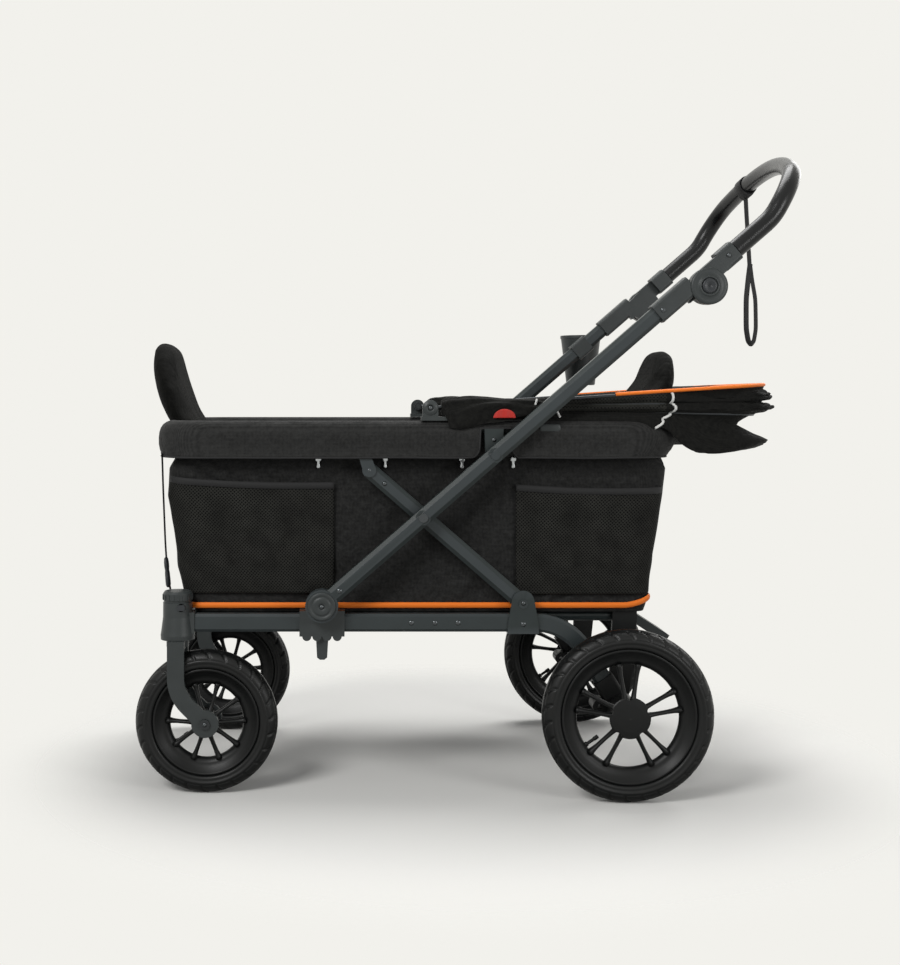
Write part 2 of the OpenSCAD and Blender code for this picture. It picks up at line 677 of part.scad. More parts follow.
// moulded cup on the outside of the far push tube, with its clamp
module cup_holder() {
    r0 = cup_d / 2;
    r1 = r0 * 0.7;
    color("#303232") place() difference() {
        union() {
            translate([cup_x, cup_y, cup_top - cup_h]) rotate_extrude() polygon([[0, 0], [r1 - 2, 0], [r1, 2],
                [r0 - 1.5, cup_h - 7], [r0, cup_h - 6], [r0, cup_h], [0, cup_h]]);
            sleeve(-span, pivot_z, push_y, open_angle, cup_s - 30, cup_s + 6, push_w + 6, tube_h + 8, 5);
            rod_y(cup_x - 12, cup_top - 30, 12, push_out, cup_y - 20);
        }
        translate([cup_x, cup_y, cup_top - cup_h]) rotate_extrude() polygon([[0, 3], [r1 - 3, 3],
            [r0 - 4, cup_h - 7], [r0 - 3, cup_h + 1], [0, cup_h + 1]]);
        sleeve(-span, pivot_z, push_y, open_angle, cup_s - 60, cup_s + 60, push_w + 0.2, tube_h + 0.2, 0.1);
    }
}

// moulded blocks that run on the rails and carry the push tubes' lower pivots
module slider_blocks() {
    color("#2a2b2b") place() both() {
        difference() {
            union() {
                xz(basket_y + seat, push_in - 0.4) {
                    translate([-span - 40, rail_bottom - 7]) square([80, rail_h + 13.4]);
                    for (x = [-27, -9, 9, 27]) translate([-span + x, rail_bottom - 7]) circle(r = 8);
                }
                xz(rail_out + slide, push_in - 0.4) translate([-span, pivot_z]) circle(r = 24);
            }
            translate([-span - 50, rail_in - 0.4, rail_bottom - slide])
                cube([100, rail_w + 0.4 + slide, rail_h + 2 * slide]);
            translate([-span - 14, rail_in + 2, rail_bottom - 20]) cube([28, 18, 19]);
        }
        rod_y(-span, pivot_z, pin_r, rail_out + slide, push_out + boss + 3);
        rod_y(-span, pivot_z, 10, push_out + boss + 0.2, push_out + boss + 3);
        rod_y(-span, rail_bottom - 9, 3, rail_in, rail_in + 22);
    }
}

// squeeze lever that frees the slider from the rail
module latch_lever(s) {
    color("#232525") place() side(s) difference() {
        xz(rail_in + 3, rail_in + 19)
            polygon(concat(arc(-span, rail_bottom - 9, 6.5, 0, 180, 12), [[-span - 11, rail_bottom - 10],
                [-span - 9, rail_bottom - 46], [-span - 4, rail_bottom - 50], [-span + 4, rail_bottom - 50],
                [-span + 9, rail_bottom - 46], [-span + 11, rail_bottom - 10]]));
        rod_y(-span, rail_bottom - 9, 3 + run, rail_in, rail_in + 30);
    }
}

link_y = brace_out + 0.1;

module rim_links() {
    a = atan2(lug_z - link_z, lug_x - link_x);
    l = norm([lug_x - link_x, lug_z - link_z]);
    color("#3a3f40") place() both() {
        xz(link_y, link_y + 3) {
            translate([link_x, link_z]) circle(r = 12);
            translate([lug_x, lug_z]) circle(r = 10);
            translate([link_x, link_z]) rotate(a) polygon([[0, -11.5], [l, -9.5], [l, 9.5], [0, 11.5]]);
        }
        rod_y(link_x, link_z, 5, brace_in, link_y + 3);
    }
}

// Rim

module ring_tube(r) {
    x0 = rim_front_x + rim_inset;
    x1 = rim_rear_x - rim_inset;
    c = basket_r + 14;
    for (x = [x0, x1]) rod_y(x, rim_tube_z, r, c - rail_y, rail_y - c);
    both() {
        translate([x0 + c, rail_y, rim_tube_z]) rotate([0, 90, 0]) cylinder(r = r, h = x1 - x0 - 2 * c);
        translate([x0 + c, rail_y - c, rim_tube_z]) rotate([0, 0, 90]) rotate_extrude(angle = 90)
            translate([c, 0]) circle(r = r);
        translate([x1 - c, rail_y - c, rim_tube_z]) rotate_extrude(angle = 90) translate([c, 0]) circle(r = r);
    }
}

module rim_frame() {
    color("#3a3f40") place() ring_tube(tube_r);
}

// the padded sleeve over the rim: an inverted trough, open where the rim pivots come out
module rim_cover() {
    g1 = cover_out - basket_y;
    color("#1f2020") place() difference() {
        translate([0, 0, cover_z]) linear_extrude(cover_h) plan(g1);
        translate([0, 0, cover_z - 1]) linear_extrude(cover_h + 2) plan(seat);
        translate([0, 0, cover_z - 1]) linear_extrude(cover_h - cover_t + 1) difference() {
            plan(g1 - cover_t);
            plan(seat + cover_t);
        }
        both() translate([rim_x - 25, cover_out - cover_t - 1, cover_z - 1]) cube([57, 10, cover_h - 12]);
    }
}

module rim_brackets() {
    color("#3a3f40") place() both() {
        xz(rail_y + tube_r + 0.1, push_in - 0.4) polygon(concat(arc(rim_x, rim_z, 15, 180, 360, 12),
            [[rim_x + 17, rim_top_z - 14], [rim_x - 17, rim_top_z - 14]]));
        rod_y(rim_x, rim_z, pin_r, push_in - 1, push_out + 2.4);
        rod_y(rim_x, rim_z, 8, push_out + 0.2, push_out + 2.4);
        difference() {
            xz(rail_y + 4, link_y - 0.2) polygon(concat(arc(lug_x, lug_z, 9, 180, 360, 12),
                [[lug_x + 12, rim_tube_z], [lug_x - 12, rim_tube_z]]));
            ring_tube(tube_r + 0.05);
        }
    }
}

module canopy_mounts() {
    color("#2f3131") place() both() {
        translate([hinge_x - 16, rail_y - 14, rim_top_z + seat]) cube([70, 29, 7]);
        xz(rail_y + 6, rail_y + 14) {
            translate([hinge_x, hinge_z]) circle(r = 14);
            translate([hinge_x - 14, rim_top_z + 2]) square([28, hinge_z - rim_top_z - 2]);
        }
        rod_y(hinge_x, hinge_z, 4, bow_y[0] - 3.4, rail_y + 14);
    }
}

// head end of a seat back, its outline from the side given by p
module seat_back(p, w, z0, z1) {
    intersection() {
        xz(-w, w) polygon(p);
        translate([-rim_rear_x * 2, 0, 0]) along_x(rim_rear_x * 4) translate([0, (z0 + z1) / 2])
            polygon(rounded(2 * w, z1 - z0, 70, 10));
    }
}

module seat_backs() {
    t = rim_top_z;
    g = basket_t + seat + 0.1;
    f = wall_front(t - 2) + g;
    r = wall_rear(t - 2) - g;
    lf = wall_front(t - 100) + g;
    lr = wall_rear(t - 100) - g;
    color("#1c1d1d") place() {
        seat_back(concat([[lf + 6, t - 110], [lf, t - 100], [f, t - 2], [f - 21, t + 20]],
            [[f - 51, t + 112], [f - 51, t + 130], [f - 44, t + 145], [f - 34, t + 150], [f - 24, t + 143], [f - 19, t + 128],
            [f - 20, t + 112], [f + 10, t + 16], [f + 30, t - 10], [lf + 30, t - 104], [lf + 24, t - 110]]), 150, t - 110, t + 150);
        seat_back([[lr - 6, t - 110], [lr, t - 100], [r, t - 2], [r + 44, t + 38], [r + 56, t + 52], [r + 57, t + 112], [r + 52, t + 126],
            [r + 42, t + 131], [r + 32, t + 126], [r + 27, t + 112], [r + 27, t + 56], [r - 18, t + 12], [r - 30, t - 10],
            [lr - 30, t - 104], [lr - 24, t - 110]], 150, t - 110, t + 131);
    }
}

// Push handle

// a thin collar that joins two stretches of a bent bar
module collar(r) { rotate([0, 90, 0]) translate([0, 0, -0.4]) cylinder(r = r + 0.12, h = 0.8); }

module handle_path(r, s0) {
    both() {
        translate([arm_x, push_y, arm_z]) rotate([0, -arm_a, 0]) translate([arm_1, 0, 0]) collar(r);
        translate([bow_x, push_y, bow_z]) rotate([0, -arm_a - bend_a, 0]) {
            collar(r);
            translate([-arm_2, 0, 0]) collar(r);
        }
        in_bow() rotate([0, 0, crown_a]) translate([crown_r, 0, 0]) rotate([0, 0, 90]) collar(r);
        translate([arm_x, push_y, arm_z]) rotate([0, -arm_a, 0]) translate([s0, 0, 0]) rotate([0, 90, 0])
            cylinder(r = r, h = arm_1 - s0);
        translate([bend_cx, push_y, bend_cz]) rotate([90, 0, 0]) rotate([0, 0, arm_a - 90])
            rotate_extrude(angle = bend_a) translate([bend_r, 0]) circle(r = r);
        translate([bow_x, 0, bow_z]) rotate([0, -arm_a - bend_a, 0]) {
            translate([-arm_2, push_y, 0]) rotate([0, 90, 0]) cylinder(r = r, h = arm_2);
            translate([0, push_y - handle_r, 0]) rotate([0, 0, crown_a]) rotate_extrude(angle = 90 - crown_a)
                translate([handle_r, 0]) circle(r = r);
        }
    }
    cross_bar(r, -crown_a, crown_a);
}

// the frame of the cross bar's bow: its centre, with the bow towards +X
module in_bow() {
    translate([bow_x, 0, bow_z]) rotate([0, -arm_a - bend_a, 0]) translate([crown_x, 0, 0]) children();
}

module cross_bar(r, a0, a1) {
    in_bow() rotate([0, 0, a0]) rotate_extrude(angle = a1 - a0) translate([crown_r, 0]) circle(r = r);
}

module handle_bar() {
    color("#3a3f40") place() handle_path(bar_r, -30);
}

module handle_grip() {
    color("#202122") place() difference() {
        handle_path(grip_d / 2, 2);
        handle_path(bar_r + 0.1, -5);
    }
}

// upper half of the tilt joint: the outer disc with its button bore and the arm sleeve
module handle_knuckles() {
    color("#2a2b2b") place() both() difference() {
        union() {
            rod_y(tilt_x, tilt_z, knuckle_r, push_y + 0.3, knob_out);
            rod_y(tilt_x, tilt_z, 7, push_y - 17, push_y + 1);
            sleeve(arm_x, arm_z, push_y, arm_a, -34, 0, 36, 38, 8);
            translate([arm_x, push_y + 0.3, arm_z]) rotate([0, -arm_a, 0])
                translate([-72, 0, -17.3]) cube([46, knob_out - push_y - 0.5, 32]);
        }
        translate([arm_x, push_y, arm_z]) rotate([0, -arm_a, 0]) translate([-30.1, 0, 0]) rotate([0, 90, 0])
            cylinder(r = bar_r + 0.1, h = 40);
        rod_y(tilt_x, tilt_z, 13 + slide, knob_out - 10, knob_out + 5);
    }
}

module handle_button(s) {
    color("#343637") place() side(s) rod_y(tilt_x, tilt_z, 13, knob_out - 5, knob_out + 3);
}

// webbing cuff on the cross bar and the loop that hangs from it
module wrist_strap() {
    x = strap_x;
    z = strap_z;
    g = grip_d / 2 + seat;
    color("#1b1c1c") place() difference() {
        union() {
            in_bow() rotate([0, 0, strap_a]) translate([crown_r, 16, 0]) rotate([90, 0, 0]) cylinder(r = g + 2.4, h = 32);
            xz(strap_y - 9, strap_y + 9) {
                polygon([[x - 6, z - g + 4], [x - 2, z - g + 4], [x - 7, z - 168], [x - 11, z - 168]]);
                polygon([[x - 11, z - 160], [x - 7, z - 160], [x + 4, z - 215], [x + 5, z - 300], [x + 1, z - 318],
                    [x - 6, z - 325], [x - 13, z - 318], [x - 17, z - 300], [x - 16, z - 215]]);
            }
        }
        cross_bar(g, strap_a - 5, strap_a + 5);
        xz(strap_y - 20, strap_y + 20) polygon([[x - 9, z - 172], [x + 1.4, z - 216], [x + 2.4, z - 299], [x - 1, z - 315],
            [x - 6, z - 322], [x - 11, z - 315], [x - 14.4, z - 299], [x - 13.4, z - 216]]);
    }
}

// Canopy, folded to the rear

bow_c = 80;

module bow(k) {
    y = bow_y[k];
    r = bow_d / 2;
    c = bow_c;
    translate([hinge_x, 0, hinge_z]) rotate([0, -bow_a[k], 0]) {
        both() difference() {
            union() {
                rod_y(0, 0, 8, y - 3.2, y + 3.2);
                translate([0, y, 0]) rotate([0, 90, 0]) cylinder(r = r, h = bow_l - c);
                translate([bow_l - c, y - c, 0]) rotate_extrude(angle = 90) translate([c, 0]) circle(r = r);
            }
            rod_y(0, 0, 4 + run, 0, rail_y + 40);
        }
        rod_y(bow_l, 0, r, c - y, y - c);
    }
}

module bow_rear() { color("#4a4d4e") place() bow(0); }
module bow_mid() { color("#4a4d4e") place() bow(1); }
module bow_front() { color("#4a4d4e") place() bow(2); }

// a folded fabric layer between two bows, g inside them: a wedge seen from the side, a U in plan
module layer(a0, a1, g) {
    r0 = 190;
    c = bow_c - bow_d / 2 - g;
    r1 = bow_l - bow_c + c;
    y = bow_y[0] - bow_c + c;
    translate([hinge_x, 0, hinge_z]) difference() {
        intersection() {
            xz(-y, y) polygon([[r0 * cos(a0), r0 * sin(a0)], [r1 * cos(a0), r1 * sin(a0)],
                [r1 * cos(a1), r1 * sin(a1)], [r0 * cos(a1), r0 * sin(a1)]]);
            translate([r1 / 2, 0, -100]) linear_extrude(300) polygon(rounded(r1, 2 * y, c, 10));
        }
        translate([r0 - 10, -y + 46, -100]) cube([bow_l - 118 - r0 + 10, 2 * y - 92, 300]);
    }
}

module canopy_panel_mid() { color("#242525") place() layer(bow_a[0] + 0.1, bow_a[1] - 0.1, 0.4); }
module canopy_panel_front() { color("#242525") place() layer(bow_a[1] + 0.1, bow_a[2] + 0.4, 3.5); }

// the lowest layer, sewn to the rim's rear end and hanging behind it
module canopy_panel_rear() {
    x = rim_rear_x + seat;
    t = rim_top_z;
    color("#242525") place() xz(-bow_y[0] + 12, bow_y[0] - 12) polygon([[x, t - 2], [x, t - 26], [x + 30, t - 34], [x + 70, t - 52],
        [x + 110, t - 57], [x + 150, t - 46], [x + 164, t - 36], [x + 160, t - 24], [x + 130, t - 14], [x + 90, t - 6], [x + 40, t]]);
}

side_rails();
front_cross_tube();
caster_housings();
rear_axle();
rear_axle_beam();
rear_hub_blocks();
tray_frame();
floor_board();
pivot_brackets();
chassis_rivets();
basket_shell();
mesh_pockets();
basket_piping();
seat_cushions();
tie_straps();
swivel_button(-1);  // swivel_button_l
swivel_button(1);  // swivel_button_r
caster_fork(-1);  // caster_fork_l
caster_fork(1);  // caster_fork_r
front_axle(-1);  // front_axle_l
front_axle(1);  // front_axle_r
front_rim(-1);  // front_rim_l
front_rim(1);  // front_rim_r
front_tyre(-1);  // front_tyre_l
front_tyre(1);  // front_tyre_r
rear_rim(-1);  // rear_rim_l
rear_rim(1);  // rear_rim_r
rear_tyre(-1);  // rear_tyre_l
rear_tyre(1);  // rear_tyre_r
rear_hub_cap(-1);  // rear_hub_cap_l
rear_hub_cap(1);  // rear_hub_cap_r
brake_pedal();
cross_braces();
scissor_pins();
push_tubes();
push_rivets();
handle_sockets();
cup_holder();
slider_blocks();
latch_lever(-1);  // latch_lever_l
latch_lever(1);  // latch_lever_r
rim_links();
rim_frame();
rim_cover();
rim_brackets();
canopy_mounts();
seat_backs();
handle_bar();
handle_grip();
handle_knuckles();
handle_button(-1);  // handle_button_l
handle_button(1);  // handle_button_r
wrist_strap();
bow_rear();
bow_mid();
bow_front();
canopy_panel_rear();
canopy_panel_mid();
canopy_panel_front();
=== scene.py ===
# %% [markdown]
# A folding stroller wagon, dressed round its CAD frame. The frame brings the tubes, wheels and
# mouldings with their joints; this script adds the cloth, the rubber and every surface finish.
# Nothing from the frame is moved: most new pieces ride one of its bodies, so the wagon still folds; the
# canopy sheets and their pipings ride none.

# %% Load the frame
import json
import math

import bmesh
import bpy
import numpy as np
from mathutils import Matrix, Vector, noise


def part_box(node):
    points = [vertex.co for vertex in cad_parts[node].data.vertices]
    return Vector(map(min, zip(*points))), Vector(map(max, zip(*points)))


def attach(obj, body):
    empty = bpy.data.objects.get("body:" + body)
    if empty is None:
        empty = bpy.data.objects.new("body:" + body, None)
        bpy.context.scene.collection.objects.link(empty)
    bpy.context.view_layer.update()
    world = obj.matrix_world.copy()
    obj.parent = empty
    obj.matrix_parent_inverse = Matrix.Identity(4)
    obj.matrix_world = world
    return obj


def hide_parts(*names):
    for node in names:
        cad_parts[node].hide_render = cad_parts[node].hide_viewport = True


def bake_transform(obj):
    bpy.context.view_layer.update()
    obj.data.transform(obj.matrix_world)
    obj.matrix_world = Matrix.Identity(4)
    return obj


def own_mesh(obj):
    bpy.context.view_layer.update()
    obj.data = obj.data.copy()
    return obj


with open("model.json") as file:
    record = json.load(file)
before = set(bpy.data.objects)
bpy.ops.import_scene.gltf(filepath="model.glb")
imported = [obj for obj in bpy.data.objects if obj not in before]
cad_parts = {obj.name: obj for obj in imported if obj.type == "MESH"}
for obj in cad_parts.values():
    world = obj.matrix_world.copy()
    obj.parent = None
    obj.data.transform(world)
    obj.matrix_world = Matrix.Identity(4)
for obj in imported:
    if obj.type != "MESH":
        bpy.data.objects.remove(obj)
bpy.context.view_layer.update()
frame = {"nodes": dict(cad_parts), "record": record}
nodes = frame["nodes"]

# %% [markdown]
# All cloth is drawn in millimetres round the scissor's centre pin, as a maker would measure it on
# the wagon itself. One function turns such points to metres in the shared frame, and the pin's own
# place is read from the frame, so the cloth follows if the frame is packed again.

# %% Millimetres on the wagon to metres in the frame
pin_low, pin_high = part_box("scissor_pins")
CENTRE = np.array([(pin_low.x + pin_high.x) / 2, (pin_low.y + pin_high.y) / 2, 0.0])


def place(points):
    """Points in mm round the scissor centre, as metres in the shared frame."""
    return np.asarray(points, float) * 0.001 + CENTRE


def measured(node):
    """A CAD node's lowest and highest corner in mm round the scissor centre."""
    return [(np.array(corner) - CENTRE) * 1000 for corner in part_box(node)]


print("scissor centre at", np.round(CENTRE, 4))

# %% [markdown]
# Cloth is easiest to draw as a grid of points: rows up the cloth and columns along it. The grid
# also gives the cloth its UV map in metres, so a weave of so many threads per millimetre comes out
# at its real size on every piece, whatever its shape. Finishes are kept by name and made further on.

# %% Grids and pieces
finishes = {}


def grid(points, loop_cols=False, loop_rows=False):
    """Vertices, faces and UVs in metres of a grid of points with rows and columns."""
    rows, cols = points.shape[:2]
    wide = np.linalg.norm(np.roll(points, -1, axis=1) - points, axis=2).mean(axis=0)
    high = np.linalg.norm(np.roll(points, -1, axis=0) - points, axis=2).mean(axis=1)
    u = np.concatenate([[0], np.cumsum(wide)])
    v = np.concatenate([[0], np.cumsum(high)])
    faces, uvs = [], []
    for r in range(rows if loop_rows else rows - 1):
        for c in range(cols if loop_cols else cols - 1):
            up, on = (r + 1) % rows, (c + 1) % cols
            faces.append((r * cols + c, r * cols + on, up * cols + on, up * cols + c))
            uvs += [(u[c], v[r]), (u[c + 1], v[r]), (u[c + 1], v[r + 1]), (u[c], v[r + 1])]
    return points.reshape(-1, 3), faces, uvs


def new_piece(name, shape, material, body=None, stands_for=()):
    """A smooth-shaded piece from grid()'s vertices, faces and UVs, with a named finish, riding a body."""
    verts, faces, uvs = shape
    mesh = bpy.data.meshes.new(name)
    mesh.from_pydata([tuple(p) for p in verts], [], faces)
    layer = mesh.uv_layers.new(name="cloth")
    flat = np.zeros((len(mesh.loops), 2), np.float32)
    flat[:len(uvs)] = uvs
    layer.data.foreach_set("uv", flat.ravel())
    mesh.polygons.foreach_set("use_smooth", [True] * len(mesh.polygons))
    mesh.materials.append(finishes[material])
    skin = bmesh.new()
    skin.from_mesh(mesh)
    bmesh.ops.recalc_face_normals(skin, faces=skin.faces)
    skin.to_mesh(mesh)
    skin.free()
    piece = bpy.data.objects.new(name, mesh)
    bpy.context.scene.collection.objects.link(piece)
    if body:
        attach(piece, body)
    if stands_for:
        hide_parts(*stands_for)
    return piece


print("grids ready")

# %% [markdown]
# Straps, pipings and bolt heads are tubes and turnings, and bags and pads are rings set one above the
# other. Each function here takes millimetres on the wagon and gives a shape for new_piece, or helps
# to draw one.

# %% Tubes, turnings and rings


def capped(rings):
    """Rings in mm on the wagon as a tube, closed with one face at each end."""
    points = place(rings)
    rows, cols = points.shape[:2]
    verts, faces, uvs = grid(points, loop_cols=True)
    ends = [tuple(range(cols))[::-1], tuple(range((rows - 1) * cols, rows * cols))]
    return verts, faces + ends, uvs


def looped(rings):
    """Rings in mm on the wagon as a tube that runs back into itself."""
    return grid(place(rings), loop_cols=True, loop_rows=True)


def tube(path, radius, sides=10, closed=False, flat=1.0, side=None):
    """Grid points of a round or flattened tube along a path; side is the way its full radius points."""
    path = np.asarray(path, float)
    ahead = np.roll(path, -1, axis=0) - np.roll(path, 1, axis=0)
    if not closed:
        ahead[0], ahead[-1] = path[1] - path[0], path[-1] - path[-2]
    ahead /= np.linalg.norm(ahead, axis=1)[:, None]
    if side is None:
        side = np.cross(ahead[0], (0.0, 0.0, 1.0) if abs(ahead[0][2]) < 0.9 else (0.0, 1.0, 0.0))
    side = np.array(side, float)
    rings = []
    turn = np.linspace(0, 2 * math.pi, sides, endpoint=False)
    for point, along, wide in zip(path, ahead, np.broadcast_to(radius, len(path))):
        side = side - along * side.dot(along)
        side /= np.linalg.norm(side)
        up = np.cross(side, along)
        rings.append(point + wide * (np.outer(np.cos(turn), side) + flat * np.outer(np.sin(turn), up)))
    return np.array(rings)


def rod(path, radius, **more):
    """A closed tube as a shape for new_piece, from a path in mm on the wagon."""
    return capped(tube(path, radius, **more))


def turned(profile, centre, sign, steps=80):
    """A closed outline of (radius, distance out) in mm, turned round an axis along y on one side."""
    turn = np.linspace(0, 2 * math.pi, steps, endpoint=False)
    radius, out = np.array(profile, float).T[:, :, None]
    x, z = centre
    points = np.stack([x + radius * np.cos(turn), sign * out + 0 * turn, z + radius * np.sin(turn)], axis=2)
    return looped(points)


def joined(*shapes):
    """Several shapes as one."""
    verts, faces, uvs = [], [], []
    for points, sides, flat in shapes:
        faces += [tuple(k + len(verts) for k in side) for side in sides]
        verts += [tuple(p) for p in points]
        uvs += flat + [(0.0, 0.0)] * (sum(len(side) for side in sides) - len(flat))
    return verts, faces, uvs


def ripple(x, y, size, seed=0.0):
    """Smooth noise from -1 to 1 with waves of the given size."""
    return noise.noise(Vector((x / size, y / size, seed)))


def smoothed(points, steps, rounds):
    """A path of so many steps on straight lines through a few points, then rounded."""
    points = np.array(points, float)
    at = np.linspace(0, len(points) - 1, steps)
    path = np.column_stack([np.interp(at, range(len(points)), row) for row in points.T])
    for _ in range(rounds):
        path[1:-1] = (path[:-2] + 2 * path[1:-1] + path[2:]) / 4
    return path


def thicken(piece, metres, offset=-1.0):
    """Gives a sheet its thickness in metres, on its inner side or, with offset 0, on both."""
    skin = piece.modifiers.new("cloth thickness", "SOLIDIFY")
    skin.thickness, skin.offset = metres, offset


def lengths(points, axis):
    """How long a grid's lines are along its columns (axis 0) or along its rows (axis 1)."""
    return np.linalg.norm(np.diff(points, axis=axis), axis=2).sum(axis=axis)


def bent(value, power):
    """A power that keeps the sign, which squares up a round section or pinches it."""
    return np.sign(value) * np.abs(value) ** power


HANDS = [("l", -1), ("r", 1)]
print("shape helpers ready")

# %% [markdown]
# Every finish starts from the real material. Colours are written as the sRGB hex values one would
# pick from a swatch, and one function turns them to the linear values that a renderer works with.
# A second function adds a single shader node with its settings and links.

# %% Colour and shader-node helpers


def linear(swatch):
    """A hex sRGB colour as linear RGBA."""
    parts = [int(swatch[i:i + 2], 16) / 255 for i in (1, 3, 5)]
    return [p / 12.92 if p < 0.04045 else ((p + 0.055) / 1.055) ** 2.4 for p in parts] + [1.0]


def between(swatch, lighter):
    """The values of a colour Mix node's two ends."""
    return {6: linear(swatch), 7: linear(lighter)}


def add(tree, kind, sockets=None, links=None, **settings):
    """One shader node: its settings, its socket values and what is linked into it."""
    made = tree.nodes.new(kind)
    for key, value in settings.items():
        setattr(made, key, value)
    for key, value in (sockets or {}).items():
        made.inputs[key].default_value = value
    for key, source in (links or {}).items():
        tree.links.new(source, made.inputs[key])
    return made


def finish(name, swatch, roughness, metallic=0.0, **more):
    """A material of one plain finish, kept by name: its node tree, its shader and its coordinates."""
    made = finishes[name] = bpy.data.materials.new(name)
    made.use_nodes = True
    tree = made.node_tree
    shader = tree.nodes["Principled BSDF"]
    shader.inputs["Base Color"].default_value = linear(swatch)
    shader.inputs["Roughness"].default_value = roughness
    shader.inputs["Metallic"].default_value = metallic
    for key, value in more.items():
        shader.inputs[key.replace("_", " ")].default_value = value
    return tree, shader, add(tree, "ShaderNodeTexCoord").outputs


def wire(tree, shader, tint=None, gloss=None, bump=None):
    """Links a mixed colour, a roughness and a bump into a shader."""
    for source, output, socket in [(tint, 2, "Base Color"), (gloss, 0, "Roughness"), (bump, 0, "Normal")]:
        if source:
            tree.links.new(source.outputs[output], shader.inputs[socket])


print("shader helpers ready")

# %% [markdown]
# Pattern sizes are given in millimetres. Hard finishes share one plan: clouds of two tints and two
# roughnesses over a fine grain of bumps. Only the sizes, swatches and depths differ.

# %% Pattern scales and hard finishes


def per_mm(size):
    """A texture's scale for features of the given size in mm, with coordinates in metres."""
    return 1000.0 / size


def bands_per_mm(size):
    """The same for a Wave texture, which repeats 20 times in 2 pi units."""
    return per_mm(size) / 20 * 6.2832


def clouded(name, swatch, roughness, tints, cloud, gloss, grain, bump, **more):
    """A hard finish of clouds over a grain: its node tree, its shader and its mixed tint.

    cloud is a size in mm and a noise detail, grain a texture node and its sockets, and bump the
    grain's strength and its depth in metres.
    """
    tree, shader, space = finish(name, swatch, roughness, **more)
    where = {"Vector": space["Object"]}
    spots = add(tree, "ShaderNodeTexNoise", {"Scale": per_mm(cloud[0]), "Detail": cloud[1]}, where)
    fine = add(tree, *grain, where)
    tint = add(tree, "ShaderNodeMix", between(*tints), {0: spots.outputs[0]}, data_type="RGBA")
    rough = add(tree, "ShaderNodeMapRange", {3: gloss[0], 4: gloss[1]}, {0: spots.outputs[0]})
    relief = add(tree, "ShaderNodeBump", {"Strength": bump[0], "Distance": bump[1]},
                 {"Height": fine.outputs[0]})
    wire(tree, shader, tint, rough, relief)
    return tree, shader, tint


print("hard finishes ready")

# %% [markdown]
# The frame tubes are extruded aluminium with a satin charcoal powder coat. Powder melts into a
# faint orange peel, drawn as a fine bump. The sharp edges are painted lighter through Geometry's
# pointiness: a painted highlight along every edge.

# %% Powder-coated aluminium
peel = ("ShaderNodeTexNoise", {"Scale": per_mm(1.6), "Detail": 2.0})
tree, shader, tint = clouded(
    "powder_coated_aluminium", "#282d2d", 0.36, ("#262c2c", "#313838"), cloud=(45, 3.0), gloss=(0.28, 0.42),
    grain=peel, bump=(0.25, 0.0002), IOR=1.5, Specular_IOR_Level=0.28)
# Sharp edges are painted lighter through pointiness: a painted highlight along them.
corners = add(tree, "ShaderNodeNewGeometry").outputs["Pointiness"]
edge = add(tree, "ShaderNodeMapRange", {1: 0.51, 2: 0.6, 3: 0.0, 4: 0.45}, {0: corners})
painted_edge_highlight = add(tree, "ShaderNodeMix", {7: linear("#484d50")}, {0: edge.outputs[0], 6: tint.outputs[2]},
           data_type="RGBA")
wire(tree, shader, painted_edge_highlight)
print("made", list(finishes))

# %% [markdown]
# Joints, housings and the cup holder are glass-filled nylon from a spark-eroded mould: matt, with a
# grain of about half a millimetre, drawn here at 0.9 mm and more so that it shows. Buttons and
# wheels are the same nylon from a smoother mould. One loop makes the three, since only the tints,
# grain, gloss and shine differ.

# %% Moulded nylon, three moulds
for name, tints, grain, gloss, shine in [
        ("moulded_nylon", ("#2f3333", "#3c4040"), 0.9, (0.34, 0.46), 0.28),
        ("smooth_nylon_button", ("#2d2f31", "#34373a"), 1.4, (0.34, 0.42), 0.28),
        ("wheel_nylon", ("#0d0e0e", "#151616"), 1.2, (0.34, 0.48), 0.2)]:
    spark = ("ShaderNodeTexNoise", {"Scale": per_mm(grain), "Detail": 3.0})
    clouded(name, tints[0], gloss[0], tints, cloud=(30, 2.0), gloss=gloss, grain=spark, bump=(0.3, 0.00015),
            IOR=1.53, Specular_IOR_Level=shine)
print("made", list(finishes)[-3:])

# %% [markdown]
# Tyres are black rubber. New rubber from a polished mould has a satin sidewall that shows broad
# highlights, and a little dust dulls it in patches, so the roughness wanders between the two.

# %% Tyre rubber
grit = ("ShaderNodeTexNoise", {"Scale": per_mm(0.9), "Detail": 2.0})
clouded("tyre_rubber", "#111212", 0.4, ("#0d0e0e", "#171818"), cloud=(18, 5.0), gloss=(0.28, 0.5), grain=grit,
        bump=(0.3, 0.0002), IOR=1.52, Specular_IOR_Level=0.24)
print("made", list(finishes)[-1])

# %% [markdown]
# The metal that isn't painted: blackened axle bolts, spring-steel canopy bows, the dark domed
# rivets and the zips' nickel pulls. Metals keep the default IOR; their colour is their reflection,
# and fine scratches from turning or drawing spread the highlight.

# %% Bare metals
for name, swatch, low, high in [("blackened_bolt_steel", "#3c3e40", 0.26, 0.4),
                                ("spring_steel", "#3a3c3e", 0.34, 0.48),
                                ("blackened_rivet_steel", "#4c4f51", 0.22, 0.34),
                                ("nickel_zip_pull", "#a9acae", 0.22, 0.34)]:
    tree, shader, space = finish(name, swatch, low, metallic=1.0)
    drawn = add(tree, "ShaderNodeTexNoise", {"Scale": per_mm(2.5), "Detail": 4.0},
                {"Vector": space["Object"]})
    gloss = add(tree, "ShaderNodeMapRange", {3: low, 4: high}, {0: drawn.outputs[0]})
    wire(tree, shader, gloss=gloss)
print("made", list(finishes)[-4:])

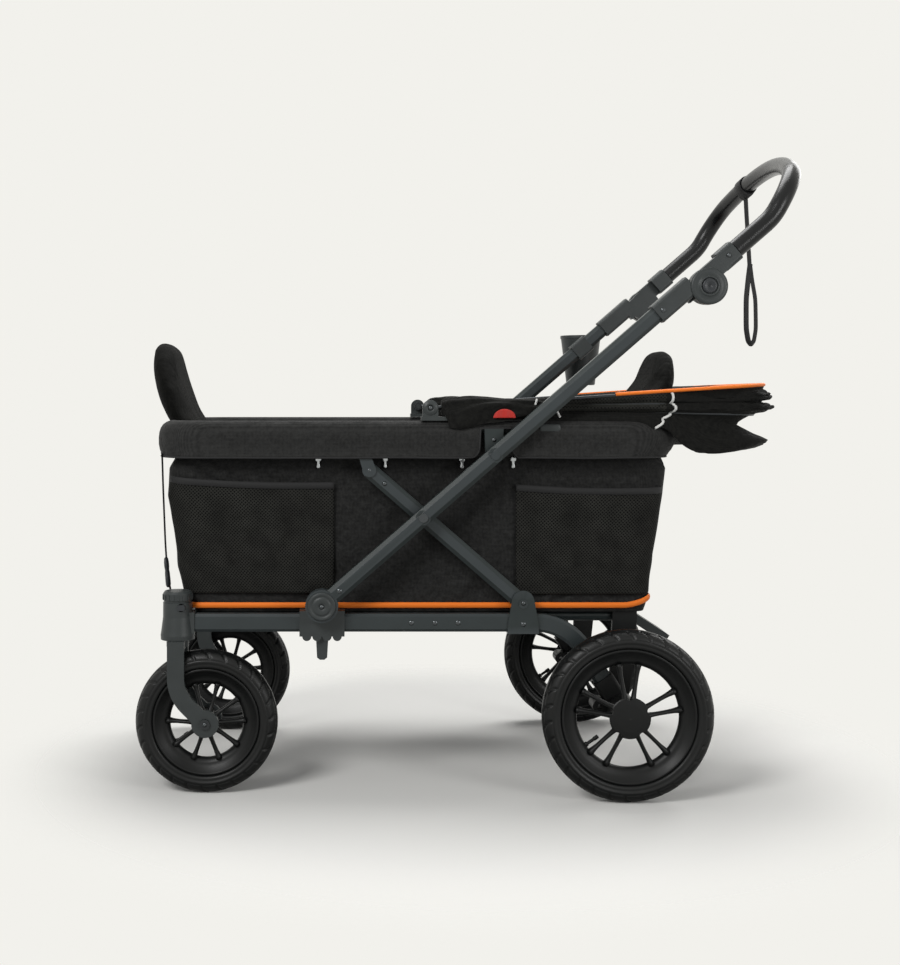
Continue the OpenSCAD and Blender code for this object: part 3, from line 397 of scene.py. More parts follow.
# %% [markdown]
# The basket, rim and canopy are coarse woven polyester. Its threads lie about 0.6 mm apart, too
# fine to show in the picture, so the weave is drawn at 2.4 mm. Wave textures cross along the cloth:
# two on its UV map for warp and weft, or three along the object's axes on pieces that have no UVs
# or that stretch. A soft bump of about 55 mm crumples it. Fibres shade each other, so cloth reflects
# little and gets only a faint sheen.

# %% Woven polyester
for name, swatch, lighter, thread, coords, axes, shine in [
        ("woven_polyester", "#080808", "#343433", 2.4, "UV", "XY", 0.16),
        ("padded_polyester", "#0c0c0c", "#313130", 2.4, "Object", "XYZ", 0.2),
        # The seat backs' cloth is this polyester painted darker: a painted shade against the lamps' light on
        # them.
        ("seat_polyester_painted_darker", "#080808", "#161614", 2.4, "Object", "XYZ", 0.05),
        ("canopy_polyester", "#080808", "#1e1e1c", 2.2, "Object", "XYZ", 0.1)]:
    tree, shader, space = finish(name, swatch, 0.8, IOR=1.5, Specular_IOR_Level=shine,
                                 Sheen_Weight=0.2 * shine, Sheen_Roughness=0.5)
    yarns = {"Scale": bands_per_mm(thread), "Distortion": 0.7, "Detail": 1.0, "Detail Scale": 2.0}
    weave = None
    for axis in axes:
        band = add(tree, "ShaderNodeTexWave", yarns, {"Vector": space[coords]}, wave_type="BANDS",
                   bands_direction=axis)
        if weave:
            band = add(tree, "ShaderNodeMath", None, {0: weave.outputs[0], 1: band.outputs[1]},
                       operation="ADD")
        weave = band
    slub = add(tree, "ShaderNodeTexNoise", {"Scale": per_mm(9), "Detail": 6.0, "Roughness": 0.75},
               {"Vector": space[coords]})
    mixed = add(tree, "ShaderNodeMath", {1: 0.2}, {0: weave.outputs[0]}, operation="MULTIPLY")
    level = add(tree, "ShaderNodeMath", None, {0: slub.outputs[0], 1: mixed.outputs[0]}, operation="ADD")
    level = add(tree, "ShaderNodeMapRange", {1: 0.5, 2: 1.0, 3: 0.0, 4: 1.0}, {0: level.outputs[0]})
    tint = add(tree, "ShaderNodeMix", between(swatch, lighter), {0: level.outputs[0]}, data_type="RGBA")
    crumple = add(tree, "ShaderNodeTexNoise", {"Scale": per_mm(55), "Detail": 3.0, "Distortion": 0.8},
                  {"Vector": space["Object"]})
    slack = add(tree, "ShaderNodeBump", {"Strength": 0.7, "Distance": 0.012}, {"Height": crumple.outputs[0]})
    bump = add(tree, "ShaderNodeBump", {"Strength": 0.5, "Distance": 0.0004},
               {"Height": weave.outputs[0], "Normal": slack.outputs[0]})
    wire(tree, shader, tint, bump=bump)
print("made", list(finishes)[-4:])

# %% [markdown]
# The pockets and the canopy's windows are a knitted net with diagonal cells of about 2 mm and dark
# holes, drawn here at 4.4 mm so that it shows. A Voronoi texture's distance to the nearest cell border
# draws such a net: borders are yarn, the rest is the shade inside the hole. A Mapping node turns it
# by 45 degrees, because the net is cut on the bias.

# %% Knitted net
BIAS = math.pi / 4
for name, coords, turn, dimensions in [("pocket_net", "UV", (0.0, 0.0, BIAS), "2D"),
                                       ("canopy_net", "Object", (0.0, BIAS, 0.0), "3D")]:
    tree, shader, space = finish(name, "#131313", 0.8, IOR=1.5, Specular_IOR_Level=0.08)
    bias = add(tree, "ShaderNodeMapping", {"Rotation": turn}, {"Vector": space[coords]})
    cells = add(tree, "ShaderNodeTexVoronoi", {"Scale": per_mm(4.4), "Randomness": 0.12},
                {"Vector": bias.outputs[0]}, feature="DISTANCE_TO_EDGE", voronoi_dimensions=dimensions)
    yarn = add(tree, "ShaderNodeMapRange", {1: 0.1, 2: 0.3, 3: 1.0, 4: 0.0}, {0: cells.outputs["Distance"]})
    # The yarn is painted lighter and darker in soft patches of about 40 mm: painted light and shade on the
    # net.
    slack = add(tree, "ShaderNodeTexNoise", {"Scale": per_mm(40), "Detail": 3.0}, {"Vector": space[coords]})
    lit = add(tree, "ShaderNodeMix", between("#131312", "#3f3f3b"), {0: slack.outputs[0]}, data_type="RGBA")
    tint = add(tree, "ShaderNodeMix", {6: linear("#050505")}, {0: yarn.outputs[0], 7: lit.outputs[2]},
               data_type="RGBA")
    bump = add(tree, "ShaderNodeBump", {"Strength": 0.7, "Distance": 0.0006}, {"Height": yarn.outputs[0]})
    wire(tree, shader, tint, bump=bump)
print("made", list(finishes)[-2:])

# %% [markdown]
# Straps are nylon webbing with a rib every 2 mm or so across the band; bindings are the same tape.
# The orange edging is a corded piping in glossier thread, the white piping is glass-bead tape, and
# the small tag is plain red satin.

# %% Webbing, bindings and pipings
for name, swatch, lighter, rib, rough in [("nylon_webbing", "#121212", "#202021", 2.2, 0.6),
                                          ("binding_tape", "#161616", "#222223", 1.6, 0.7),
                                          ("orange_piping", "#f0701a", "#ff8a2c", 1.4, 0.5),
                                          ("glass_bead_piping", "#d8d8d4", "#f2f2ee", 1.2, 0.35),
                                          ("red_satin_tag", "#a8231d", "#d03a30", 1.0, 0.45)]:
    tree, shader, space = finish(name, swatch, rough, IOR=1.5, Specular_IOR_Level=0.3, Sheen_Weight=0.05)
    ribs = add(tree, "ShaderNodeTexWave", {"Scale": bands_per_mm(rib), "Distortion": 0.4, "Detail": 1.0},
               {"Vector": space["UV"]}, wave_type="BANDS", bands_direction="Y")
    tint = add(tree, "ShaderNodeMix", between(swatch, lighter), {0: ribs.outputs[1]}, data_type="RGBA")
    bump = add(tree, "ShaderNodeBump", {"Strength": 0.4, "Distance": 0.0003}, {"Height": ribs.outputs[1]})
    wire(tree, shader, tint, bump=bump)
print("made", list(finishes)[-5:])

# %% [markdown]
# The grip is stitched leatherette: a soft pebble grain of about 1.7 mm under a satin topcoat. The
# floor is raw fibreboard, brown and felted. Both are patterned by object coordinates, since they
# stay as CAD pieces without a UV map.

# %% Leatherette and fibreboard
pebble = ("ShaderNodeTexVoronoi", {"Scale": per_mm(1.7), "Randomness": 0.9})
clouded("leatherette", "#111213", 0.3, ("#0f1011", "#191a1b"), cloud=(25, 3.0), gloss=(0.2, 0.32),
        grain=pebble, bump=(0.35, 0.0003), IOR=1.48, Specular_IOR_Level=0.3)
tree, shader, space = finish("fibreboard", "#4a4036", 0.8, IOR=1.5)
felt = add(tree, "ShaderNodeTexNoise", {"Scale": per_mm(3), "Detail": 6.0}, {"Vector": space["Object"]})
tint = add(tree, "ShaderNodeMix", between("#3f362d", "#5a4e42"), {0: felt.outputs[0]}, data_type="RGBA")
wire(tree, shader, tint)
print("made", list(finishes)[-2:])

# %% [markdown]
# The CAD pieces whose shape is right keep it and only get their finish. The record names a slot
# for each node, so one table of slots dresses them all.

# %% Dress the CAD nodes
by_slot = {
    "frame_tube": "powder_coated_aluminium", "moulded": "moulded_nylon", "button": "smooth_nylon_button",
    "wheel": "wheel_nylon", "tyre": "tyre_rubber", "steel": "blackened_bolt_steel",
    "rivet": "blackened_rivet_steel", "cloth": "woven_polyester", "mesh": "pocket_net",
    "piping": "orange_piping", "padding": "padded_polyester", "webbing": "nylon_webbing",
    "board": "fibreboard", "grip": "leatherette", "bow": "spring_steel",
}
for part in frame["record"]["subparts"]:
    node = nodes[part["node"]]
    dark = part["node"].startswith("rear_hub")
    node.data.materials.clear()
    node.data.materials.append(finishes["wheel_nylon" if dark else by_slot[part["material_slot"]]])

# %% [markdown]
# Pneumatic tyres have a rounded carcass, a rib where the sidewall meets the rim, and a tread whose
# shoulder blocks are parted by slanted grooves. The tyre is a profile turned round the axle, and the
# grooves are pressed into the mesh itself, so they show in its silhouette too.

# %% Tyres with moulded tread
TYRE_HIGH, GROOVE_DEPTH = 35, 3.4
PROFILE = [(1.6, 16.0), (3.0, 9.0), (3.6, 6.2), (4.6, 4.2), (6.2, 2.9), (8.4, 2.2), (10.4, 2.4), (12.0, 2.0),
           (14.0, 0.9), (16.0, 0.3), (17.6, 0.9), (18.6, 1.9), (20.0, 1.1), (22.0, 1.6), (24.5, 2.8),
           (27.0, 4.4), (29.4, 6.8), (31.2, 9.4), (32.6, 12.2), (33.6, 15.0), (34.3, 17.6), (34.7, 20.2),
           (34.9, 22.2)]


def tyre(name, node, body, blocks):
    """A tyre in place of its plain CAD ring: sizes from the ring, tread in blocks round it."""
    low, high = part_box(node)
    centre = (low + high) / 2
    radius, half = (high.z - low.z) * 500, (high.y - low.y) * 500
    inner = radius - TYRE_HIGH
    side = [(inner + rise, half - inset) for rise, inset in PROFILE]
    outline = np.array(side + [(r, -a) for r, a in reversed(side)])
    turn = np.linspace(0, 2 * math.pi, blocks * 20, endpoint=False)
    rise, across = outline[:, 0][:, None], outline[:, 1][:, None]
    share = np.abs(across) / half
    phase = (turn[None, :] / (2 * math.pi) * blocks + 0.85 * share + np.where(across > 0, 0.0, 0.5)) % 1.0
    groove = np.clip(1.7 - np.abs(phase - 0.5) / 0.06, 0, 1)
    reach = np.clip((rise - inner - 19.5) / 3.0, 0, 1) * np.clip((share - 0.16) / 0.1, 0, 1)
    ring = np.clip(1.5 - np.abs(share - 0.4) / 0.035, 0, 1) * np.clip((rise - inner - 30) / 2.0, 0, 1)
    depth = GROOVE_DEPTH * np.maximum(groove * reach, 0.7 * ring)
    reach_in = rise - depth * np.clip((rise - inner) / TYRE_HIGH, 0, 1)
    sink = across * (1 - depth * np.clip(share - 0.45, 0, 1) * 1.4 / half)
    points = np.stack([reach_in * np.cos(turn), sink + 0 * turn[None, :], reach_in * np.sin(turn)], axis=2)
    shape = grid(points * 0.001 + np.array(centre), loop_cols=True, loop_rows=True)
    new_piece(name, shape, "tyre_rubber", body, [node])


for end, blocks in [("front", 26), ("rear", 30)]:
    for hand in "lr":
        tyre(f"{end}_tread_tyre_{hand}", f"{end}_tyre_{hand}", f"{end}_wheel_{hand}", blocks)
print("tyres made")

# %% [markdown]
# Each wheel is one nylon moulding: a dished rim with a rolled lip, five pairs of slim ribs that
# spread from the hub to the rim, and the hub itself. The lip is turned, and each rib is a tube with
# an oval section that thickens at both ends, as moulded ribs do. A valve stem stands inside the rim.

# %% Spoked rims
PAIRS, FIRST_PAIR, VALVE = 5, math.radians(18), math.radians(215)
LIP = [(2.2, 12), (3.2, 7.5), (2.4, 5.6), (0.4, 5), (-1.8, 5.9), (-3, 8.5), (-9, 10), (-10, 11.5), (-17, 13)]


def spoked_rim(end, hand, open_r, spread, hub):
    """A wheel's rim in place of its CAD solid; hub is its radius, its bore and its reach along the axle."""
    low, high = measured(f"{end}_tyre_{hand}")
    (x, mid, z), half = (low + high) / 2, (high[1] - low[1]) / 2
    sign = 1 if mid > 0 else -1
    bead = (high[2] - low[2]) / 2 - TYRE_HIGH
    side = [(bead + rise, half - inset) for rise, inset in LIP]
    side += [(open_r + 3, half - 16), (open_r + 0.8, half - 21)]
    lip = side + [(open_r, 0.0)] + [(r, -a) for r, a in reversed(side)]
    radius, bore, back, front = hub
    core = [(bore, back), (radius - 2, back), (radius, back + 2),
            (radius, front - 2), (radius - 2, front), (bore, front)]
    shapes = [turned([(r, abs(mid) + a) for r, a in outline], (x, z), sign, 120) for outline in (lip, core)]
    share = np.linspace(0, 1, 13)
    reach = radius - 3 + (open_r + 4 - radius) * share
    depth = half - 10 - 8 * share
    for k in range(PAIRS):
        for way in (-1, 1):
            off = way * (5.5 + (spread - 5.5) * share ** 0.9)
            turn = FIRST_PAIR + 2 * math.pi * k / PAIRS
            path = np.column_stack([x + reach * math.cos(turn) - off * math.sin(turn),
                                    sign * (abs(mid) + depth),
                                    z + reach * math.sin(turn) + off * math.cos(turn)])
            wide = 5.6 + 4.2 * np.abs(2 * share - 1) ** 3
            shapes.append(rod(path, wide, sides=10, flat=0.66, side=(0, 1, 0)))
    stem = open_r + 2 - np.array([0, 5, 6, 18, 19, 27, 28])
    path = np.column_stack([x + stem * math.cos(VALVE), np.full(7, mid), z + stem * math.sin(VALVE)])
    shapes.append(rod(path, [4.5, 4.2, 2.8, 2.8, 3.6, 3.6, 2.4], sides=10))
    new_piece(f"{end}_spoked_rim_{hand}", joined(*shapes), "wheel_nylon", f"{end}_wheel_{hand}",
              [f"{end}_rim_{hand}"])


for hand, _ in HANDS:
    spoked_rim("front", hand, 65.0, 20.0, (19.0, 6.6, -23.0, 23.0))
    spoked_rim("rear", hand, 89.0, 17.0, (27.0, 7.6, -42.0, 22.0))
print("rims made")

# %% [markdown]
# Joints show how they are put together: a raised ring round each tilt button, a stepped cap on each
# slider boss and small domed bolt heads. All are turned from a short outline, one for each side, and
# ride the body they are fastened to.

# %% Caps, rings and bolt heads
DOME = [(0.02, 2.4), (1.6, 2.3), (2.9, 1.8), (3.8, 1.0), (4.2, 0.2), (4.2, -0.8), (0.02, -0.8)]
TILT, SLIDER, HINGE = (501.15, 899.04), (-178.87, 336.0), (14.0, 685.0)
SIDED_BODIES = ("handle_button", "caster")
CAPS = [("hinge_ring", HINGE, "rim", "moulded_nylon", "moulded",
         [(4.6, 245.4), (4.8, 247.4), (7.0, 248.2), (9.6, 247.9), (10.6, 246.9), (13.2, 246.9),
          (13.8, 245.4)]),
        ("tilt_ring", TILT, "handle", "moulded_nylon", "moulded",
         [(14.2, 278), (14.2, 282.4), (15.2, 283.4), (17.0, 283.4), (18.4, 282.2), (19.4, 280.9),
          (26.5, 281.8), (29.6, 281.5), (31.8, 280.4), (32.8, 278.6), (32.8, 277), (20, 277)]),
        ("tilt_button_face", TILT, "handle_button", "smooth_nylon_button", "button",
         [(0.02, 283.4), (6.2, 283.5), (7.6, 284.2), (10.4, 284.5), (12.2, 283.9), (12.9, 282.8),
          (12.9, 281.5), (0.02, 281.5)]),
        ("slider_cap", SLIDER, "sliders", "moulded_nylon", "moulded",
         [(0.02, 279.4), (13.5, 279.4), (15, 278.9), (16, 277.9), (18.4, 277.9), (19.4, 278.9), (23, 278.9),
          (24.6, 278), (25, 276.8), (0.02, 276.8)])]
BOLTS = [("hinge_bolt", HINGE, 247.0, "rim"), ("slider_bolt", SLIDER, 279.6, "sliders"),
         ("bracket_bolt", (126.4, 628.0), 249.6, "rim"), ("sleeve_bolt", (535.0, 953.0), 280.8, "handle"),
         ("brace_bolt", (-67.4, 550.0), 241.6, "braces"), ("link_bolt", (-94.57, 573.69), 242.7, "links"),
         ("pivot_bolt", (178.87, 338.0), 248.4, "chassis"), ("axle_bolt", (-385.0, 127.0), 270.4, "caster")]
for hand, sign in HANDS:
    turnings = [(name, turned(outline, where, sign), mould, body, slot)
                for name, where, body, mould, slot, outline in CAPS]
    turnings += [(name, turned([(r, out + a) for r, a in DOME], where, sign, 20),
                  "blackened_rivet_steel", body, "rivet") for name, where, out, body in BOLTS]
    for name, shape, material, body, slot in turnings:
        new_piece(f"{name}_{hand}", shape, material, f"{body}_{hand}" if body in SIDED_BODIES else body)
print("caps:", 2 * len(CAPS), "bolt heads:", 2 * len(BOLTS))

# %% [markdown]
# The basket is one sewn bag hung inside the rim. Its walls lean in towards the bottom and its two
# ends belly out just under the rim, because the seats push the cloth there. It is lofted: a rounded
# ring at each height, an inner skin 3 mm inside it, and a floor at the bottom. Behind the rim cover it
# is split: the mouth rides the rim, and the bag below it rides the chassis.

# %% The basket's outline
RIM_FRONT, RIM_REAR, RIM_ROUND = -440.2, 420.6, 60
FLOOR_Z, MOUTH_Z, HALF_Y, SKIN = 318.4, 655.0, 217.4, 3.0
CLOTH_THICK = 0.0012
SPLIT_Z = 600.0
SEAM_FRONT, SEAM_REAR = -158.0, 169.0
BELLY_Z = [318, 330, 352, 395, 460, 524, 575, 596, 606, 660]
BELLY_FRONT = [2, 5, 20, 27, 31, 35, 28, 14, 2, 0]
BELLY_REAR = [8, 12, 17, 20, 27, 31, 34, 22, 6, 0]


def wall_x(z):
    """The basket's front and rear ends at a height, with their belly."""
    share = (MOUTH_Z - z) / (MOUTH_Z - FLOOR_Z)
    front = RIM_FRONT + 32.0 * share - np.interp(z, BELLY_Z, BELLY_FRONT)
    return front, RIM_REAR - 26.0 * share + np.interp(z, BELLY_Z, BELLY_REAR)


def corner(z):
    """The radius of the basket's upright corners at a height."""
    return np.interp(z, [FLOOR_Z, 420, MOUTH_Z], [26, 46, RIM_ROUND])


def ring(front, rear, half, radius, side_steps=150, end_steps=46, corner_steps=14):
    """A rounded rectangle in plan: points and outward directions, starting at the near front."""
    points, normals = [], []
    left, right, far = front + radius, rear - radius, half - radius
    centres = np.array([(left, -far), (right, -far), (right, far), (left, far)])
    for k, start in enumerate((180, 270, 0, 90)):
        for turn in np.radians(np.linspace(start, start + 90, corner_steps)):
            normals.append((math.cos(turn), math.sin(turn)))
            points.append(centres[k] + radius * np.array(normals[-1]))
        away = np.array([math.cos(math.radians(start + 90)), math.sin(math.radians(start + 90))])
        begin, end = centres[k] + radius * away, centres[(k + 1) % 4] + radius * away
        for share in np.linspace(0, 1, (side_steps, end_steps)[k % 2] + 2)[1:-1]:
            points.append(begin + (end - begin) * share)
            normals.append(away)
    return np.array(points), np.array(normals)


print("walls at mid height:", [round(x, 1) for x in wall_x(480.0)])

# %% [markdown]
# Cloth under tension shows straight folds between the points that pull it, and slack cloth shows
# soft dents. Each fold here is a line on the wall with a height and a width, and noise gives the
# dents. The side walls stay almost flat, because the scissor tubes run 5 mm outside them.

# %% Folds and the basket itself
SIDE_FOLDS = [(222, 336, 262, 388, 2.6, 9), (262, 332, 318, 388, 2.8, 10), (300, 340, 372, 420, 2.2, 13),
              (-140, 352, -178, 398, 2.6, 9), (-196, 338, -168, 372, 2.4, 8), (-330, 350, -372, 420, 2.6, 12),
              (-130, 560, -60, 500, 1.6, 14), (150, 560, 90, 470, 1.6, 15), (-100, 352, -20, 390, 1.8, 12),
              (60, 350, 130, 420, 1.8, 13), (-400, 590, -360, 560, 3.0, 9), (-300, 590, -250, 566, 2.0, 10)]


def side_relief(x, z):
    """How far a side wall stands out of its plane at a point, in mm."""
    height = 2.4 * ripple(x, z, 75, 3.0) + 1.3 * ripple(x, z, 31, 7.0) - 1.6
    for x0, z0, x1, z1, rise, width in SIDE_FOLDS:
        along = np.array([x1 - x0, z1 - z0])
        share = np.clip(((x - x0) * along[0] + (z - z0) * along[1]) / along.dot(along), 0, 1)
        off = math.hypot(x - x0 - share * along[0], z - z0 - share * along[1])
        height += 1.4 * rise * math.exp(-(off / width) ** 2)
        height -= 0.9 * rise * math.exp(-((off - 1.7 * width) / width) ** 2)
    for seam in (SEAM_FRONT, SEAM_REAR):
        height -= 1.8 * math.exp(-((x - seam) / 2.2) ** 2)
    slider_room = np.interp(x, [-370, -340, -240, -210], [3.4, -1.6, -1.6, 3.4])
    return min(height, slider_room, np.interp(z, [535, 565], [3.4, 0.3]))


def basket_row(z, inset=0.0):
    """One ring of the bag's skin at a height, with its folds, drawn in by an inset."""
    front, rear = wall_x(z)
    points, normals = ring(front, rear, HALF_Y, corner(z))
    edge = np.interp(z, [FLOOR_Z, 345, 560, MOUTH_Z], [0.2, 1, 1, 0.15])
    row = []
    for (x, y), (nx, ny) in zip(points, normals):
        side = abs(ny) ** 3
        slack = 3.2 * ripple(y, z, 85, 11.0 + nx) + 1.4 * ripple(y, z, 33, 5.0)
        out = edge * (side * side_relief(x, z) + (1 - side) * slack) - inset
        row.append((x + nx * out, y + ny * out, z))
    return row


heights = np.concatenate([[FLOOR_Z], np.linspace(FLOOR_Z + 4, SPLIT_Z, 76)])
outer = [basket_row(z) for z in heights]
inner = [basket_row(z, SKIN) for z in heights[::-3] if z > FLOOR_Z + SKIN]
middle = np.array([np.mean([p[0] for p in outer[0]]), 0.0, 0.0])


def floor_rows(edge, z, shares):
    """Rings that close a floor: the edge ring drawn in towards the middle."""
    flat = np.array(edge) * (1, 1, 0)
    return [middle + (flat - middle) * share + (0, 0, z) for share in shares]


rows = floor_rows(outer[0], FLOOR_Z, [0.02, 0.3, 0.6, 0.9, 0.985]) + outer + inner
rows += floor_rows(inner[-1], FLOOR_Z + SKIN, [0.97, 0.6, 0.3, 0.02])
basket = new_piece("basket_bag", capped(rows), "woven_polyester", "chassis", ["basket_shell"])
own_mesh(basket)
mouth = np.linspace(SPLIT_Z, MOUTH_Z, 9)
rows = [basket_row(SPLIT_Z - 7, 1.0)] + [basket_row(z) for z in mouth]
rows += [basket_row(z, SKIN) for z in mouth[::-1]] + [basket_row(SPLIT_Z - 7, 2.0)]
shape = looped(rows)
new_piece("basket_mouth", shape, "woven_polyester", "rim")
print("basket:", len(basket.data.vertices), "points")

# %% [markdown]
# A net pocket is sewn to the wall on three sides and bound with tape along its mouth. The net
# bellies out a little, most where nothing holds it. Its edges lie on the wall, so each grid point is
# the wall's surface plus a swelling that dies away towards the seams.

# %% Net pockets and their bound mouths
BRACE_END = -205.0
POCKETS = {"front": (lambda z: wall_x(z)[0] + 5, lambda z: SEAM_FRONT, 352, (560, 550), 9.0),
           "rear": (lambda z: SEAM_REAR, lambda z: wall_x(z)[1] - 6, 350, (546, 541), 8.0)}
BINDING = [(0, 0.4, 1.5), (0, 1.7, 0.8), (0, 1.9, -4), (0, 1.7, -9.8), (0, 0.4, -10.6), (0, -1.2, -9.5),
           (0, -1.3, -4), (0, -1.1, 0.8)]
ALONG, UP = np.linspace(0, 1, 70), np.linspace(0, 1, 56)


def bag_half(x, z):
    """Half the bag's width at a point along it: full, then rounded in at the corners."""
    radius = corner(z)
    front, rear = wall_x(z)
    into = max(0.0, radius - min(x - front, rear - x))
    return HALF_Y - radius + math.sqrt(max(radius ** 2 - into ** 2, 0.0))


def pocket_points(left, right, low, tops, swell, sign, u, v):
    """A point of a pocket: u along it, v up it, both from 0 to 1, with its place on the wall."""
    z = low + (tops[0] + (tops[1] - tops[0]) * u - low) * v
    x = left(z) + (right(z) - left(z)) * u
    rise = (4 * u * (1 - u)) ** 0.6 * min(1.0, 3.2 * v) ** 0.8 * (1 - 0.35 * v)
    slack = 2.2 * ripple(x, z, 46, 21.0) + 1.6 * ripple(x + z, z - x, 24, 9.0)
    sag = 4.0 * v * 4 * u * (1 - u)
    clear = np.clip((BRACE_END - x) / 50, 0, 1) if x < 0 else np.clip((x + BRACE_END) / 40, 0, 1)
    out = bag_half(x, z) + 3.4 + clear * rise * (swell * 0.62 + slack)
    return x, sign * out, z - sag


for end, pocket in POCKETS.items():
    for hand, sign in HANDS:
        points = place([[pocket_points(*pocket, sign, u, v) for u in ALONG] for v in UP])
        piece = new_piece(f"net_pocket_{end}_{hand}", grid(points), "pocket_net", "chassis",
                          ["mesh_pockets"])
        thicken(piece, CLOTH_THICK)
        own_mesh(piece)
        flat = float(lengths(points, 1).mean()), float(lengths(points, 0).mean())
        band = np.array([pocket_points(*pocket, sign, u, 1.0) for u in ALONG])
        shape = capped(band[:, None, :] + np.array(BINDING) * (1, sign, 1))
        piece = new_piece(f"pocket_binding_{end}_{hand}", shape, "binding_tape", "chassis")
        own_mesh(piece)
print("pockets made")

# %% [markdown]
# The orange piping runs round the bag's bottom seam and lifts a little at the rear corners, where
# the bag curves up. It is a cord sewn into a bias strip, so its section is a tall oval, which is
# carried along the seam.

# %% Orange bottom piping
front, rear = wall_x(337.0)
seam, away = ring(front - 2.0, rear + 1.0, HALF_Y + 1.6, 24, 90, 40, 14)
lift = 13.0 * np.clip((seam[:, 0] - rear + 46) / 46, 0, 1) ** 1.6
path = np.column_stack([seam + away * 1.2, 330.4 + lift])
rows = []
for turn in np.linspace(0, 2 * math.pi, 14, endpoint=False):
    rise = np.full(len(path), 5.3 * math.sin(turn))
    rows.append(path + np.column_stack([away * 2.9 * math.cos(turn), rise]))
shape = looped(rows)
new_piece("bottom_piping", shape, "orange_piping", "chassis", ["basket_piping"])
print("piping round the bottom seam, lifted by", round(lift.max(), 1), "mm at the rear")

# %% [markdown]
# The rim cover is a padded sleeve folded over the rim tube, like an upside-down trough. It is swept:
# one cross-section carried round the rim's plan. Where the push tubes' pivots come through, the outer
# skirt is cut away, and at the rear the skirt leans in.

# %% Rim cover
COVER_LOW, OUTER, REAR_BULGE, FRONT_BULGE = 595.0, 16, 21.0, 10.0
NOTCH_LOW, NOTCH_HIGH, NOTCH_Z, NOTCH_ROUND = 101.6, 158.6, 649.0, 20.0
SECTION = [(29.4, 595.4), (30.7, 597), (31.0, 601), (30.2, 603.5), (31.1, 608), (31.5, 618),
           (31.5, 630), (31.3, 640), (30.4, 648), (28.2, 654.5), (24.6, 658.8), (20.0, 661.3),
           (15.0, 662.0), (10.0, 661.2), (5.4, 658.4), (2.2, 653.2), (0.8, 645), (0.4, 630),
           (0.4, 612), (0.5, 598), (1.0, 596), (2.6, 596), (2.9, 612), (3.0, 640),
           (3.8, 650), (6.5, 656.2), (10.5, 658.6), (15.0, 659.2), (20.0, 658.2), (24.6, 654.0),
           (27.0, 647), (27.9, 636), (28.0, 615), (27.8, 598), (28.2, 595.8)]


def hem_z(x, y):
    """The lower edge of the outer skirt: straight, but cut away round each rim pivot."""
    if abs(y) < HALF_Y + 20 or not NOTCH_LOW - NOTCH_ROUND < x < NOTCH_HIGH + NOTCH_ROUND:
        return COVER_LOW
    if NOTCH_LOW <= x <= NOTCH_HIGH:
        return NOTCH_Z
    into = NOTCH_ROUND - (NOTCH_LOW - x if x < NOTCH_LOW else x - NOTCH_HIGH)
    return COVER_LOW + NOTCH_ROUND - math.sqrt(NOTCH_ROUND ** 2 - into ** 2)


columns, away = ring(RIM_FRONT, RIM_REAR, HALF_Y, RIM_ROUND, 430, 60, 22)
sweep = []
for g, z in SECTION:
    skirt = np.clip((g - OUTER) / 12, 0, 1)
    bulge = np.clip((g - 14) / 14, 0, 1) * np.sin(np.clip((z - 588) / 74, 0, 1) * math.pi) ** 0.6
    row = []
    for (x, y), (nx, ny) in zip(columns, away):
        low = hem_z(x + nx * g, y + ny * g) if g > OUTER else COVER_LOW
        high = max(z, low + (z - COVER_LOW) * 0.02) if z < low + 1 else z
        slack = 1.1 * ripple(x + y, z, 58, 31.0) + 0.6 * ripple(x - y, z, 22, 17.0)
        hang = 1.6 * ripple(x, y, 120, 2.0) * np.clip((640 - z) / 40, 0, 1)
        lean = 12.0 * np.clip((nx - 0.2) / 0.8, 0, 1) * np.clip((640 - z) / 45, 0, 1) if g > OUTER else 0.0
        lean -= (REAR_BULGE if nx > 0 else FRONT_BULGE) * nx * nx * bulge
        out = g - lean + (slack - 0.7) * skirt * (0.3 if abs(ny) > 0.5 else 1.0)
        row.append((x + nx * out, y + ny * out, high - (hang if low == COVER_LOW else 0.0)))
    sweep.append(row)
shape = looped(sweep)
cover = new_piece("rim_sleeve", shape, "padded_polyester", "rim", ["rim_cover"])
hem = tube(np.array(sweep[1]) + (0, 0, -0.6), 2.0, sides=6, closed=True)
shape = looped(hem)
new_piece("rim_hem_piping", shape, "binding_tape", "rim")
print("rim cover:", len(cover.data.vertices), "points")

# %% [markdown]
# Seat backs and cushions are foam in a sewn cover. Each starts as a slim loft along the seat's
# middle line and is blown up by a short cloth simulation, as stuffing does, with a limit on how far
# a point may move.

# %% Stuffing helper
VOXEL, FRAMES, PRESSURE = 0.006, 20, 4.0


